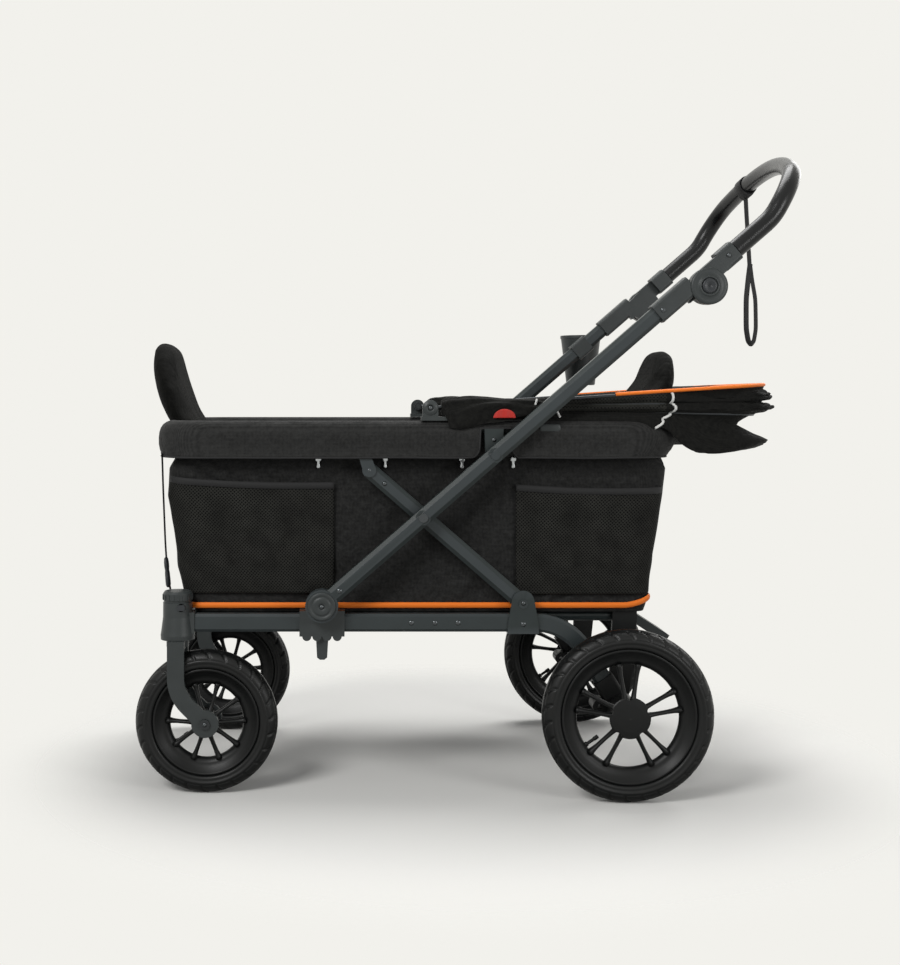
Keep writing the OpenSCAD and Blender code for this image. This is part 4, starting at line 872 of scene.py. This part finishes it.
def stuffed(piece, cap):
    """Remeshes a piece, swells it as cloth under pressure, and limits the movement to cap metres."""
    bpy.context.view_layer.objects.active = piece
    remesh = piece.modifiers.new("even mesh", "REMESH")
    remesh.mode = "VOXEL"
    remesh.voxel_size = VOXEL
    bpy.ops.object.modifier_apply(modifier=remesh.name)
    rest = np.array([v.co for v in piece.data.vertices])
    cloth = piece.modifiers.new("stuffing", "CLOTH")
    cloth.settings.use_pressure = True
    cloth.settings.uniform_pressure_force = PRESSURE
    cloth.settings.effector_weights.gravity = 0.0
    cloth.settings.tension_stiffness = 20
    cloth.settings.compression_stiffness = 20
    cloth.point_cache.frame_start, cloth.point_cache.frame_end = 1, FRAMES
    for step in range(1, FRAMES + 1):
        bpy.context.scene.frame_set(step)
    seen = piece.evaluated_get(bpy.context.evaluated_depsgraph_get())
    swollen = np.array([v.co for v in seen.data.vertices])
    piece.modifiers.remove(cloth)
    bpy.context.scene.frame_set(1)
    move = swollen - rest
    far = np.linalg.norm(move, axis=1)[:, None]
    rest = rest + move * np.minimum(1.0, cap / np.maximum(far, 1e-9))
    piece.data.vertices.foreach_set("co", rest.astype(np.float32).ravel())
    smooth = piece.modifiers.new("even skin", "CORRECTIVE_SMOOTH")
    smooth.iterations = 6
    smooth.use_only_smooth = True
    fine = piece.modifiers.new("fine skin", "SUBSURF")
    fine.levels = fine.render_levels = 1
    for modifier in (smooth, fine):
        bpy.ops.object.modifier_apply(modifier=modifier.name)
    piece.data.polygons.foreach_set("use_smooth", [True] * len(piece.data.polygons))
    return piece


def pad(name, shape, material, cap, body, node):
    """A stuffed piece that rides a body in place of a CAD node."""
    piece = stuffed(new_piece(name, shape, material), cap)
    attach(piece, body)
    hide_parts(node)


print("stuffing of", FRAMES, "frames ready")

# %% [markdown]
# A seat back is listed as stations up its middle line, each with x, z and a thickness. The loft gives
# every station an oval section across the wagon, and draws the sections in towards the top corners.

# %% Seat backs
BACKS = {"front": [(-413, 593, 26), (-418, 614, 26), (-430, 642, 30), (-452, 672, 38), (-466, 704, 41),
                   (-475, 731, 41), (-482, 760, 41), (-485, 784, 40), (-486, 800, 39), (-486, 812, 38)],
         "rear": [(398, 556, 30), (400, 640, 30), (411, 666, 31), (431, 692, 33), (448, 712, 36),
                  (463, 732, 38), (473, 760, 38), (478, 780, 37), (480, 793, 36)]}


def loft(line, half_width, top_round, sides=40):
    """A pad along a middle line of x, z and thickness, drawn in towards its top corners."""
    line = np.array(line, float)
    long = np.concatenate([[0], np.cumsum(np.linalg.norm(np.diff(line[:, :2], axis=0), axis=1))])
    end = long[-1]

    def on_line(s):
        """The middle line's x and z at a length along it."""
        return np.array([np.interp(s, long, line[:, k]) for k in (0, 1)])

    top = end - top_round * (1 - np.sin(np.linspace(0, 1.5, 16)[1:]))
    rows = []
    for s in np.concatenate([np.linspace(0, end - top_round, 26), top]):
        at = on_line(s)
        ahead = on_line(min(s + 14, end)) - on_line(max(s - 14, 0))
        ahead /= np.linalg.norm(ahead)
        left = max(0.0, top_round - (end - s))
        wide = half_width - top_round + math.sqrt(max(top_round ** 2 - left ** 2, 1.0))
        edge = max(0.0, 1 - (end - s) / 18)
        deep = np.interp(s, long, line[:, 2]) / 2 * min(0.2 + 0.8 * math.sqrt(1 - edge ** 2), 0.4 + s / 24)
        row = []
        for turn in np.linspace(0, 2 * math.pi, sides, endpoint=False):
            c, n = math.cos(turn), math.sin(turn)
            across = math.copysign(abs(c) ** 0.55, c) * wide
            off = math.copysign(abs(n) ** 0.8, n) * deep
            row.append((at[0] - ahead[1] * off, across, at[1] + ahead[0] * off))
        rows.append(row)
    return capped(rows)


# The seat backs wear the polyester painted darker, a painted shade.
for end, line in BACKS.items():
    pad(f"seat_back_{end}", loft(line, 147, 122), "seat_polyester_painted_darker", 0.004, "rim", "seat_backs")
print("seat backs made")

# %% [markdown]
# The two seat cushions lie on the basket's floor, under the seat backs. They are flat below, where
# they rest, and crowned above, so a ring at each height gives the start and stuffing does the rest.
# A thin cloth mat covers the fibreboard under them, so no bare board shows in the footwell.

# %% Seat cushions
BOARD, MAT, MAT_INSET = 5.0, 0.6, 4
CUSHION_Z = FLOOR_Z + SKIN + BOARD + MAT
CROWN = [(0.5, 12), (2.5, 6), (8, 2), (16, 0.6), (24, 1), (30, 4), (35, 10), (38, 18)]
for end, x0, x1 in [("front", -376.2, -100.0), ("rear", 105.0, 354.6)]:
    rows = []
    for rise, inset in CROWN:
        outline, _ = ring(x0 + inset, x1 - inset, 198 - inset, 34, 40, 40, 10)
        rows.append(np.column_stack([outline, np.full(len(outline), CUSHION_Z + rise)]))
    shape = capped(rows)
    pad(f"seat_cushion_{end}", shape, "padded_polyester", 0.003, "chassis", "seat_cushions")
low, high = measured("floor_board")
mat_x = np.linspace(low[0] + MAT_INSET, high[0] - MAT_INSET, 60)
mat_y = np.linspace(low[1] + MAT_INSET, high[1] - MAT_INSET, 32)
rows = [[(x, y, high[2] + 0.5 + 0.15 * ripple(x, y, 60, 3.0)) for x in mat_x] for y in mat_y]
mat = new_piece("floor_mat", grid(place(rows)), "padded_polyester", "chassis")
thicken(mat, 0.0004)
print("cushions and mat made")

# %% [markdown]
# The canopy is folded back: three sheets hang in loose lobes between four U-shaped edges, the rim and
# three bows. Each edge is a row of stations that run out one arm, round the corner and across the
# rear, then back along the other arm.

# %% Canopy edges
BOW_TURN, BOW_HALF = np.radians([-1.2, 1.0, 3.8]), [220, 227, 234]
BOW_LONG, BOW_ROUND, ARM_END = 600.0, 80.0, 520.0
EDGE_X, EDGE_Y, EDGE_ROUND = 391, 187.9, 61.5
ARM = np.linspace(205, ARM_END, 46)
TURN = np.linspace(0, math.pi / 2, 14)[1:-1]
ACROSS = np.linspace(-1, 1, 44)
ARM_LONG = np.concatenate([ARM, np.full(2 * len(TURN) + len(ACROSS), ARM_END), ARM[::-1]])


def both_arms(near, rear, half):
    """One arm and corner, the rear and the mirrored arm: x, y and the way out at each station."""
    back = [(rear, s * half, 1.0, 0.0) for s in ACROSS]
    far = [(x, -y, out_x, -out_y) for x, y, out_x, out_y in reversed(near)]
    return np.array(near + back + far)


def stations(arm_x, half, bend, rear):
    """A U in plan with arms along x, corners of a given bend and a straight rear."""
    x, y = rear - bend, half - bend
    near = [(along, -half, 0.0, -1.0) for along in arm_x]
    near += [(x + bend * math.sin(t), -y - bend * math.cos(t), math.sin(t), -math.cos(t)) for t in TURN]
    return both_arms(near, rear, y)


def bow_stations(k, reach=0.0):
    """A bow's U in plan, drawn out by a reach, and its height at each station."""
    plan = stations(HINGE[0] + ARM, BOW_HALF[k] + reach, BOW_ROUND, HINGE[0] + BOW_LONG + reach)
    return plan, HINGE[1] + (plan[:, 0] - HINGE[0]) * math.tan(BOW_TURN[k])


def eased(start, end):
    """How far back each station is, from 0 at one length of the arm to 1 at another."""
    share = np.clip((ARM_LONG - start) / (end - start), 0, 1)
    return share * share * (3 - 2 * share)


turns = np.concatenate([np.radians(60) * np.clip((HINGE[0] + ARM - EDGE_X) / 143, 0, 1),
                        np.radians(60) + TURN / 3])
near = [(min(HINGE[0] + p, EDGE_X) + EDGE_ROUND * math.sin(t), -EDGE_Y - EDGE_ROUND * math.cos(t),
         math.sin(t), -math.cos(t)) for p, t in zip(ARM_LONG, turns)]
RIM_EDGE = both_arms(near, EDGE_X + EDGE_ROUND, EDGE_Y)
BOWS = [bow_stations(k) for k in range(3)]
FAR_BACK, BACK = eased(440, 515), eased(395, 505)
UPPER = [np.maximum(BOWS[0][1], 673) + 0.4, np.maximum(BOWS[1][1], 692) + 1.0,
         np.maximum(BOWS[2][1], 701) + 1.5]
LOWER = [648 + 6 * FAR_BACK, np.minimum(BOWS[0][1], 675.5), np.minimum(BOWS[1][1], 695.0)]
print("canopy edges of", len(RIM_EDGE), "stations")

# %% [markdown]
# Each sheet is drawn in rows from its lower to its upper edge and rides no body; the two bodies and
# two numbers at the head of its table entry are not used. The upper two sheets' arms are net,
# the rest is cloth, and a white bead line runs up each side where the net ends.

# %% Canopy sheets
SOCKET_ROOM, NET_START, NET_END = 237.5, 225, 425.0
PIPE_WAVES, PIPE_REACH = [2, 1, 1], [7.0, 9.0, 4.0]
PIPE_AT = int(np.argmin(np.abs(ARM - NET_END - 5)))


def lobed(low, high, side, back, share):
    """Rows from a lower edge to an upper one; side and back list their share across, way out and height."""
    (low_plan, low_z), (high_plan, high_z) = low, high
    share = share[:, None]
    mix = side[None] * (1 - share[:, :, None]) + back[None] * share[:, :, None]
    plan = low_plan[:, None, :2] * (1 - mix[:, :, :1]) + high_plan[:, None, :2] * mix[:, :, :1]
    rows = range(mix.shape[1])
    middle = np.sin(np.linspace(0, math.pi, len(rows))) ** 0.7
    crease = [[ripple((x - 2 * y) / 2.5, 26 * k, 70, 33.0) + 0.6 * ripple((x + 3 * y) / 2, 17 * k, 30, 8.0)
               for k in rows] for x, y in low_plan[:, :2]]
    wave = [[ripple(x + 1.6 * y, 11 * k, 38, 51.0) for k in rows] for x, y in low_plan[:, :2]]
    out = mix[:, :, 1] + 10.0 * middle * np.minimum(crease, 0.4) * (0.3 + 0.7 * share)
    plan = plan + high_plan[:, None, 2:4] * out[:, :, None]
    plan[:, :, 1] = np.clip(plan[:, :, 1], -SOCKET_ROOM, SOCKET_ROOM)
    z = low_z[:, None] * (1 - mix[:, :, 2]) + high_z[:, None] * mix[:, :, 2]
    z = z + 5.0 * middle * share * np.array(wave)
    return np.concatenate([plan, z[:, :, None]], axis=2)


def rows_of(*points):
    """A sheet's 22 rows, rounded from a short list."""
    return smoothed(points, 22, 3)


SHEETS = {
    "canopy_cloth_rear": (
        "rim", "bow_rear", 658, 672, (RIM_EDGE, LOWER[0]), (BOWS[0][0], UPPER[0]),
        rows_of((0, 0, 0), (0.1, 0.5, 0.2), (0.3, 1, 0.4), (0.5, 1.5, 0.6), (0.7, 1.5, 0.8), (0.85, 1, 0.9),
                (1, 0, 1)),
        rows_of((0, 1, 0), (0.06, 3, -0.3), (0.14, 3, -0.6), (0.30, 3, -1.1), (0.46, 2, -1.9),
                (0.62, 2, -2.7), (0.82, 2, -2.6), (1.02, 2, -2.2), (1.26, 2, -1.75), (1.16, 1, -1.2),
                (1.02, 1, -0.85), (0.84, 0, -0.6), (0.76, 0, -0.1), (0.8, 0, 0.3), (0.89, 0, 0.7), (1, 0, 1)),
        FAR_BACK),
    "canopy_cloth_mid": (
        "bow_rear", "bow_mid", 676, 692, (BOWS[0][0], LOWER[1]), (BOWS[1][0], UPPER[1]),
        rows_of((0, 0, 0), (0.2, 5, 0.2), (0.5, 8, 0.5), (0.8, 5, 0.8), (1, 0, 1)),
        rows_of((0, -2, 0), (0.2, 9, 0.12), (0.4, 26, 0.36), (0.6, 36, 0.62), (0.8, 22, 0.85), (1, 6, 1)),
        BACK),
    "canopy_cloth_front": (
        "bow_mid", "bow_front", 696, 701, (BOWS[1][0], LOWER[2]), (BOWS[2][0], UPPER[2]),
        rows_of((0, 0, 0), (0.2, 3, 0.2), (0.5, 5, 0.5), (0.8, 3, 0.8), (1, 0, 1)),
        rows_of((0, 4, 0), (0.2, 20, 0.12), (0.4, 30, 0.3), (0.6, 24, 0.5), (0.8, 17, 0.75), (1, 14, 1)),
        BACK)}
for k, (name, (lower, upper, start, end, *edges)) in enumerate(SHEETS.items()):
    points = lobed(*edges)
    piece = new_piece(name, grid(place(points)), "canopy_polyester", None,
                      [name.replace("cloth", "panel")])
    piece.data.materials.append(finishes["canopy_net"])
    for face in piece.data.polygons:
        along = face.center.x * 1000 - CENTRE[0] * 1000 - HINGE[0]
        face.material_index = 1 if NET_START < along < NET_END and k else 0
    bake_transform(piece)
    along = lengths(points, 0).mean() / 1000
    thicken(piece, CLOTH_THICK, 0.0)
    crest = np.abs(np.sin(np.linspace(0, PIPE_WAVES[k] * math.pi, points.shape[1])))
    for hand, column in [("l", PIPE_AT), ("r", len(points) - 1 - PIPE_AT)]:
        line = points[column].copy()
        line[:, 1] += np.sign(line[:, 1]) * (6.5 * crest ** 0.5 - 4.0)
        line[:, 0] += PIPE_REACH[k] * crest
        pipe = new_piece(f"{name}_piping_{hand}", rod(line, 2.5, sides=8), "glass_bead_piping", None)
        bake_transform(pipe)

# %% [markdown]
# Inside the bows the rest of the hood lies gathered: a loose layer for each upper bow, narrow along
# the arms and deep across the rear. Each is lofted from an outer U to an inner one, with a soft
# wavy section, and rides its bow.

# %% Gathered layers inside the bows
turn = np.linspace(0, 2 * math.pi, 40, endpoint=False)
deep, round_high = 0.5 - 0.5 * bent(np.cos(turn), 0.7), 0.5 + 0.42 * bent(np.sin(turn), 0.6)
for k, name, lift in [(1, "mid", -4.0), (2, "front", 2.0)]:
    outer = stations(HINGE[0] + ARM, BOW_HALF[k] - 13, BOW_ROUND - 13, HINGE[0] + BOW_LONG - 12)
    inner = stations(np.linspace(HINGE[0] + ARM[0], 476, len(ARM)), BOW_HALF[k] - 58, 24, 496)
    rings = []
    for (x, y), (x2, y2), z0, z1 in zip(outer[:, :2], inner[:, :2], BOWS[k - 1][1] + 4.5, BOWS[k][1] + lift):
        wave = 0.12 * np.sin(7 * deep + 0.02 * (x - y)) * np.sin(math.pi * deep)
        level = np.clip(round_high + wave * 0.6, 0, 1)
        rings.append(np.column_stack([x + (x2 - x) * deep, y + (y2 - y) * deep, z0 + (z1 - z0) * level]))
    layer = new_piece(f"canopy_layer_{name}", capped(rings), "canopy_polyester", f"bow_{name}",
                      [f"canopy_panel_{name}"])
print("gathered layers made")

# %% [markdown]
# Beside the hinges the slack of the hood is gathered into a soft roll on each side, with a white
# bead line on it and a plain red tag. An orange binding runs round the front bow's edge.

# %% Gathered rolls and tags
ROLL = [(34, 214, 240, 668, 699), (40, 213, 250, 656, 703), (50, 212, 254, 648, 706),
        (70, 212, 255, 646, 707), (90, 212, 255, 652, 707), (115, 212, 254, 657, 705),
        (140, 213, 252, 658, 703), (160, 214, 249.4, 657, 702), (185, 214, 248.6, 662, 702),
        (215, 215, 248, 663.5, 702), (238, 217, 246, 667, 700), (248, 222, 243, 673, 696)]
HANG = 16
fitted = smoothed(ROLL, 70, 0)
turn = np.linspace(0, 2 * math.pi, 4 * HANG, endpoint=False)
across, up = bent(np.cos(turn), 0.8), bent(np.sin(turn), 0.8)
down = (2 * math.pi - turn[-HANG:][::-1]) / (math.pi / 2)
for hand, sign in HANDS:
    rings = []
    for x, inner, outer, low, high in fitted:
        fold = 1 + 0.06 * np.sin(9 * turn + 2.2 * math.sin(x / 30)) + 0.07 * np.sin(5 * turn - x / 19) - 0.03
        fold = np.minimum(fold, 1.04) * (1 + 0.02 * ripple(x, 0, 26, 5.0))
        y = (inner + outer) / 2 + (outer - inner) / 2.1 * across * fold
        z = (low + high) / 2 + (high - low) / 2.1 * up * fold
        rest = 670.5 if x < 50 else 663.5
        z = np.where(y < 249.2, np.maximum(z, rest), z)
        hang = rest - np.clip((outer - 250) / 3, 0, 1) * (rest - low)
        if hang < rest:
            lip_z = [z[0], (z[0] + hang) / 2, hang + 2, hang, rest]
            lip_y = [y[0], y[0] - 0.4, y[0] - 1.6, 251, 249.6, 249.6]
            z[-HANG:] = np.interp(down, [0, 0.3, 0.66, 0.76, 1], lip_z)[::-1]
            y[-HANG:] = np.interp(down, [0, 0.4, 0.66, 0.76, 0.84, 1], lip_y)[::-1]
        rings.append(np.column_stack([np.full_like(y, x), sign * y, z]))
    roll = new_piece(f"canopy_roll_{hand}", capped(rings), "canopy_polyester", "bow_rear")
    for number, (x0, z0, x1, z1) in enumerate([(200, 690, 203, 701), (236, 684, 244, 668)]):
        path = [(x0 + (x1 - x0) * t, sign * 248.6, z0 + (z1 - z0) * t) for t in np.linspace(0, 1, 9)]
        new_piece(f"roll_piping_{hand}{number}", rod(path, 1.9, sides=8), "glass_bead_piping",
                  "bow_rear")
    tag = [[(145 + 20 * s, sign * (255.4 - 0.1 * (20 * s + 20) + 0.5 * math.sin(9 * s)),
             667 + 16 * math.sqrt(1 - 0.98 * s * s) * t) for s in np.linspace(-1, 1, 21)]
           for t in np.linspace(0, 1, 7)]
    piece = new_piece(f"red_tag_{hand}", grid(place(tag)), "red_satin_tag", "bow_rear")
    thicken(piece, 0.0008)
edge_plan, edge_z = bow_stations(2, 1.5)
edge_plan[:, :2] += edge_plan[:, 2:4] * (13.0 * BACK)[:, None]
path = np.column_stack([edge_plan[:, :2], edge_z + 2.0])[ARM_LONG >= 330]
new_piece("canopy_edging", rod(path, 4.2, sides=10, flat=0.8), "orange_piping", "bow_front")
print("rolls, edging and tags made")

# %% [markdown]
# Webbing ties pull the basket's ends to the rim, with a side-release buckle on each front tie. They
# ride the chassis. Four zip pulls hang on each side under the rim.

# %% Ties, buckles and zip pulls
FRONT_TIE = [(-471, 602), (-470, 575), (-469, 540), (-467, 490), (-465, 440), (-462, 395), (-456, 352),
             (-440, 315)]
BUCKLE_Z = (413, 411, 404, 396, 390, 384, 374, 364, 361, 359)
BUCKLE_HALF = [6, 10, 12.5, 12.5, 10.5, 12.5, 13, 13, 11, 7]
PULL_Z, PULL_HALF = (598, 596, 590, 588.5, 584, 579, 576), [3.5, 5.4, 5.4, 2.4, 2.2, 3.4, 2.2]
for hand, sign in HANDS:
    front_tie = smoothed([(x, sign * 190, z) for x, z in FRONT_TIE], 60, 6)
    rear_tie = smoothed([(wall_x(z)[1] + 3.4, sign * 150, z) for z in np.linspace(594, 346, 16)], 60, 6)
    buckle = [(-461.5 + (z - 386) * -0.09, sign * 190, z) for z in BUCKLE_Z]
    band = {"sides": 12, "side": (0, 1, 0)}
    piece = new_piece(f"front_tie_{hand}", rod(front_tie, 10, flat=0.1, **band), "nylon_webbing",
                      "chassis", ["tie_straps"] if sign < 0 else ())
    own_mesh(piece)
    piece = new_piece(f"rear_tie_{hand}", rod(rear_tie, 7.5, flat=0.12, **band), "nylon_webbing",
                      "chassis")
    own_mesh(piece)
    shape = rod(buckle, BUCKLE_HALF, sides=16, flat=0.34, side=(0, 1, 0))
    piece = new_piece(f"tie_buckle_{hand}", shape, "smooth_nylon_button", "chassis")
    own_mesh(piece)
    for number, x in enumerate((-186, -66, 72, 164)):
        pull = [(x, sign * (HALF_Y + 2.7), z) for z in PULL_Z]
        shape = rod(pull, PULL_HALF, sides=12, flat=0.3, side=(1, 0, 0))
        new_piece(f"zip_pull_{hand}{number}", shape, "nickel_zip_pull", "rim")
print("ties, buckles and pulls made")

# %% [markdown]
# A wrist strap hangs from the grip: a cuff round the bowed bar, square to its tangent there, a stem
# below it and a loop at the stem's end. A small clip sits on each side of the rim cover.

# %% Wrist strap and rim clips
STRAP = np.array([680.435, 125.0, 1134.62])
BOWED, LEANING = math.radians(13.909), math.radians(60.5)
TANGENT = np.array([-math.sin(BOWED) * math.cos(LEANING), math.cos(BOWED),
                    -math.sin(BOWED) * math.sin(LEANING)])
STEM = [(0, 21), (2, 60), (5, 110), (8, 160), (9, 168)]
HANGING = [(9, 158), (13, 190), (20, 230), (21, 290), (17, 315), (11, 323), (5, 315), (1, 290), (1, 230),
           (5, 190), (9, 158)]
turn = np.linspace(0, 2 * math.pi, 40, endpoint=False)
low = np.cross(TANGENT, np.cross((0, 0, -1.0), TANGENT))
low /= np.linalg.norm(low)
side = np.cross(TANGENT, low)
cuff = []
for along, out in [(-14, 17.0), (-14, 18.6), (-13, 19.2), (13, 19.2), (14, 18.6), (14, 17.0)]:
    reach = out + 6.0 * np.clip(np.cos(turn), 0, 1) ** 10 * (out > 17.5)
    round_bar = np.outer(np.cos(turn), low) + np.outer(np.sin(turn), side)
    cuff.append(STRAP + along * TANGENT + reach[:, None] * round_bar)
shapes = [looped(cuff)]
for drawn, steps, flat in [(STEM, 40, 0.42), (HANGING, 110, 0.26)]:
    path = smoothed([(STRAP[0] + x, STRAP[1], STRAP[2] - z) for x, z in drawn], steps, 6)
    shapes.append(rod(path, 5.5, sides=12, flat=flat, side=(0.9, 0.43, 0)))
new_piece("wrist_loop", joined(*shapes), "nylon_webbing", "strap", ["wrist_strap"])
for hand, sign in HANDS:
    path = [(x, sign * 247.6, 649.5) for x in (208, 209, 212, 225, 241, 244, 245)]
    shape = rod(path, [3, 5, 6.5, 6.5, 6.5, 5, 3], sides=20, flat=0.28, side=(0, 0, 1))
    new_piece(f"rim_clip_{hand}", shape, "moulded_nylon", "rim")
print("wrist strap and clips made")

# %% [markdown]
# The picture: the wagon is seen from its side at the height of its rim, against a plain pale
# backdrop. What the camera sees of the world is the backdrop; as a light the world is much dimmer.

# %% Camera and backdrop
scene = bpy.context.scene
scene.view_settings.view_transform = "Standard"
camera = bpy.data.objects.new("camera", bpy.data.cameras.new("camera"))
scene.collection.objects.link(camera)
camera.location = (-0.220, -2.701, 0.7025)
camera.rotation_euler = (math.pi / 2, 0, 0)
camera.data.sensor_width = 36
camera.data.lens = 51.07
camera.data.shift_x, camera.data.shift_y = 0.1005, -0.0876
camera.data.clip_end = 50
scene.camera = camera

BACKDROP = "#f2f1ec"
world = bpy.data.worlds.new("studio")
scene.world = world
world.use_nodes = True
tree = world.node_tree
tree.nodes.clear()
rays = add(tree, "ShaderNodeLightPath")
seen = add(tree, "ShaderNodeMath", None, {0: rays.outputs["Is Camera Ray"], 1: rays.outputs["Is Glossy Ray"]},
           operation="MAXIMUM")
shown = add(tree, "ShaderNodeMath", None, {0: seen.outputs[0], 1: rays.outputs["Is Transmission Ray"]},
            operation="MAXIMUM")
ambient = add(tree, "ShaderNodeBackground", {"Color": linear("#f4f6f8"), "Strength": 0.24})
backdrop = add(tree, "ShaderNodeBackground", {"Color": linear(BACKDROP), "Strength": 1.0})
mixed = add(tree, "ShaderNodeMixShader", None,
            {0: shown.outputs[0], 1: ambient.outputs[0], 2: backdrop.outputs[0]})
add(tree, "ShaderNodeOutputWorld", None, {0: mixed.outputs[0]})
print("camera and backdrop set")

# %% [markdown]
# The floor is a patch that fades out into the backdrop, so no horizon shows, and it keeps the soft
# shadow under the wagon. It is a paler tone to the camera than to the light that bounces off it.

# %% Floor
floor_paint = bpy.data.materials.new("pale_studio_floor")
floor_paint.use_nodes = True
tree = floor_paint.node_tree
tree.nodes.clear()
space = add(tree, "ShaderNodeTexCoord")
far = add(tree, "ShaderNodeVectorMath", None, {0: space.outputs["Object"]}, operation="LENGTH")
fade = add(tree, "ShaderNodeMapRange", {1: 0.6, 2: 0.95, 3: 0.0, 4: 1.0}, {0: far.outputs["Value"]},
           interpolation_type="SMOOTHSTEP")
rays = add(tree, "ShaderNodeLightPath")
tone = add(tree, "ShaderNodeMix", between("#bdbcb8", "#ecebe7"), {0: rays.outputs["Is Camera Ray"]},
           data_type="RGBA")
paint = add(tree, "ShaderNodeBsdfDiffuse", None, {"Color": tone.outputs[2]})
faint = add(tree, "ShaderNodeMath", {1: 0.03}, {0: rays.outputs["Is Camera Ray"]}, operation="MULTIPLY")
glow = add(tree, "ShaderNodeEmission", {"Color": linear(BACKDROP)}, {"Strength": faint.outputs[0]})
lit = add(tree, "ShaderNodeAddShader", None, {0: paint.outputs[0], 1: glow.outputs[0]})
clear = add(tree, "ShaderNodeBsdfTransparent")
mixed = add(tree, "ShaderNodeMixShader", None, {0: fade.outputs[0], 1: lit.outputs[0], 2: clear.outputs[0]})
add(tree, "ShaderNodeOutputMaterial", None, {0: mixed.outputs[0]})
floor = bpy.data.objects.new("floor", bpy.data.meshes.new("floor"))
floor.data.from_pydata([(-2, -2, 0), (2, -2, 0), (2, 2, 0), (-2, 2, 0)], [], [(0, 1, 2, 3)])
floor.data.materials.append(floor_paint)
scene.collection.objects.link(floor)
print("floor laid")

# %% [markdown]
# Four soft lamps light it: a key from the front left, a weaker one from the side, one overhead and a
# faint one from behind, all aimed at the wagon's middle.

# %% Lamps
for name, where, size, watts in [("key", (-1.7, -2.4, 2.3), 1.1, 58), ("side", (1.9, -2.2, 1.1), 0.8, 18),
                                 ("top", (0.2, 0.6, 2.9), 1.6, 52), ("rear", (1.9, 1.5, 1.9), 1.2, 14)]:
    lamp = bpy.data.lights.new(name, "AREA")
    lamp.energy, lamp.size = watts, size
    holder = bpy.data.objects.new(name, lamp)
    holder.location = where
    holder.rotation_euler = (Vector((0, 0, 0.5)) - Vector(where)).to_track_quat("-Z", "Y").to_euler()
    scene.collection.objects.link(holder)
print("lamps set")
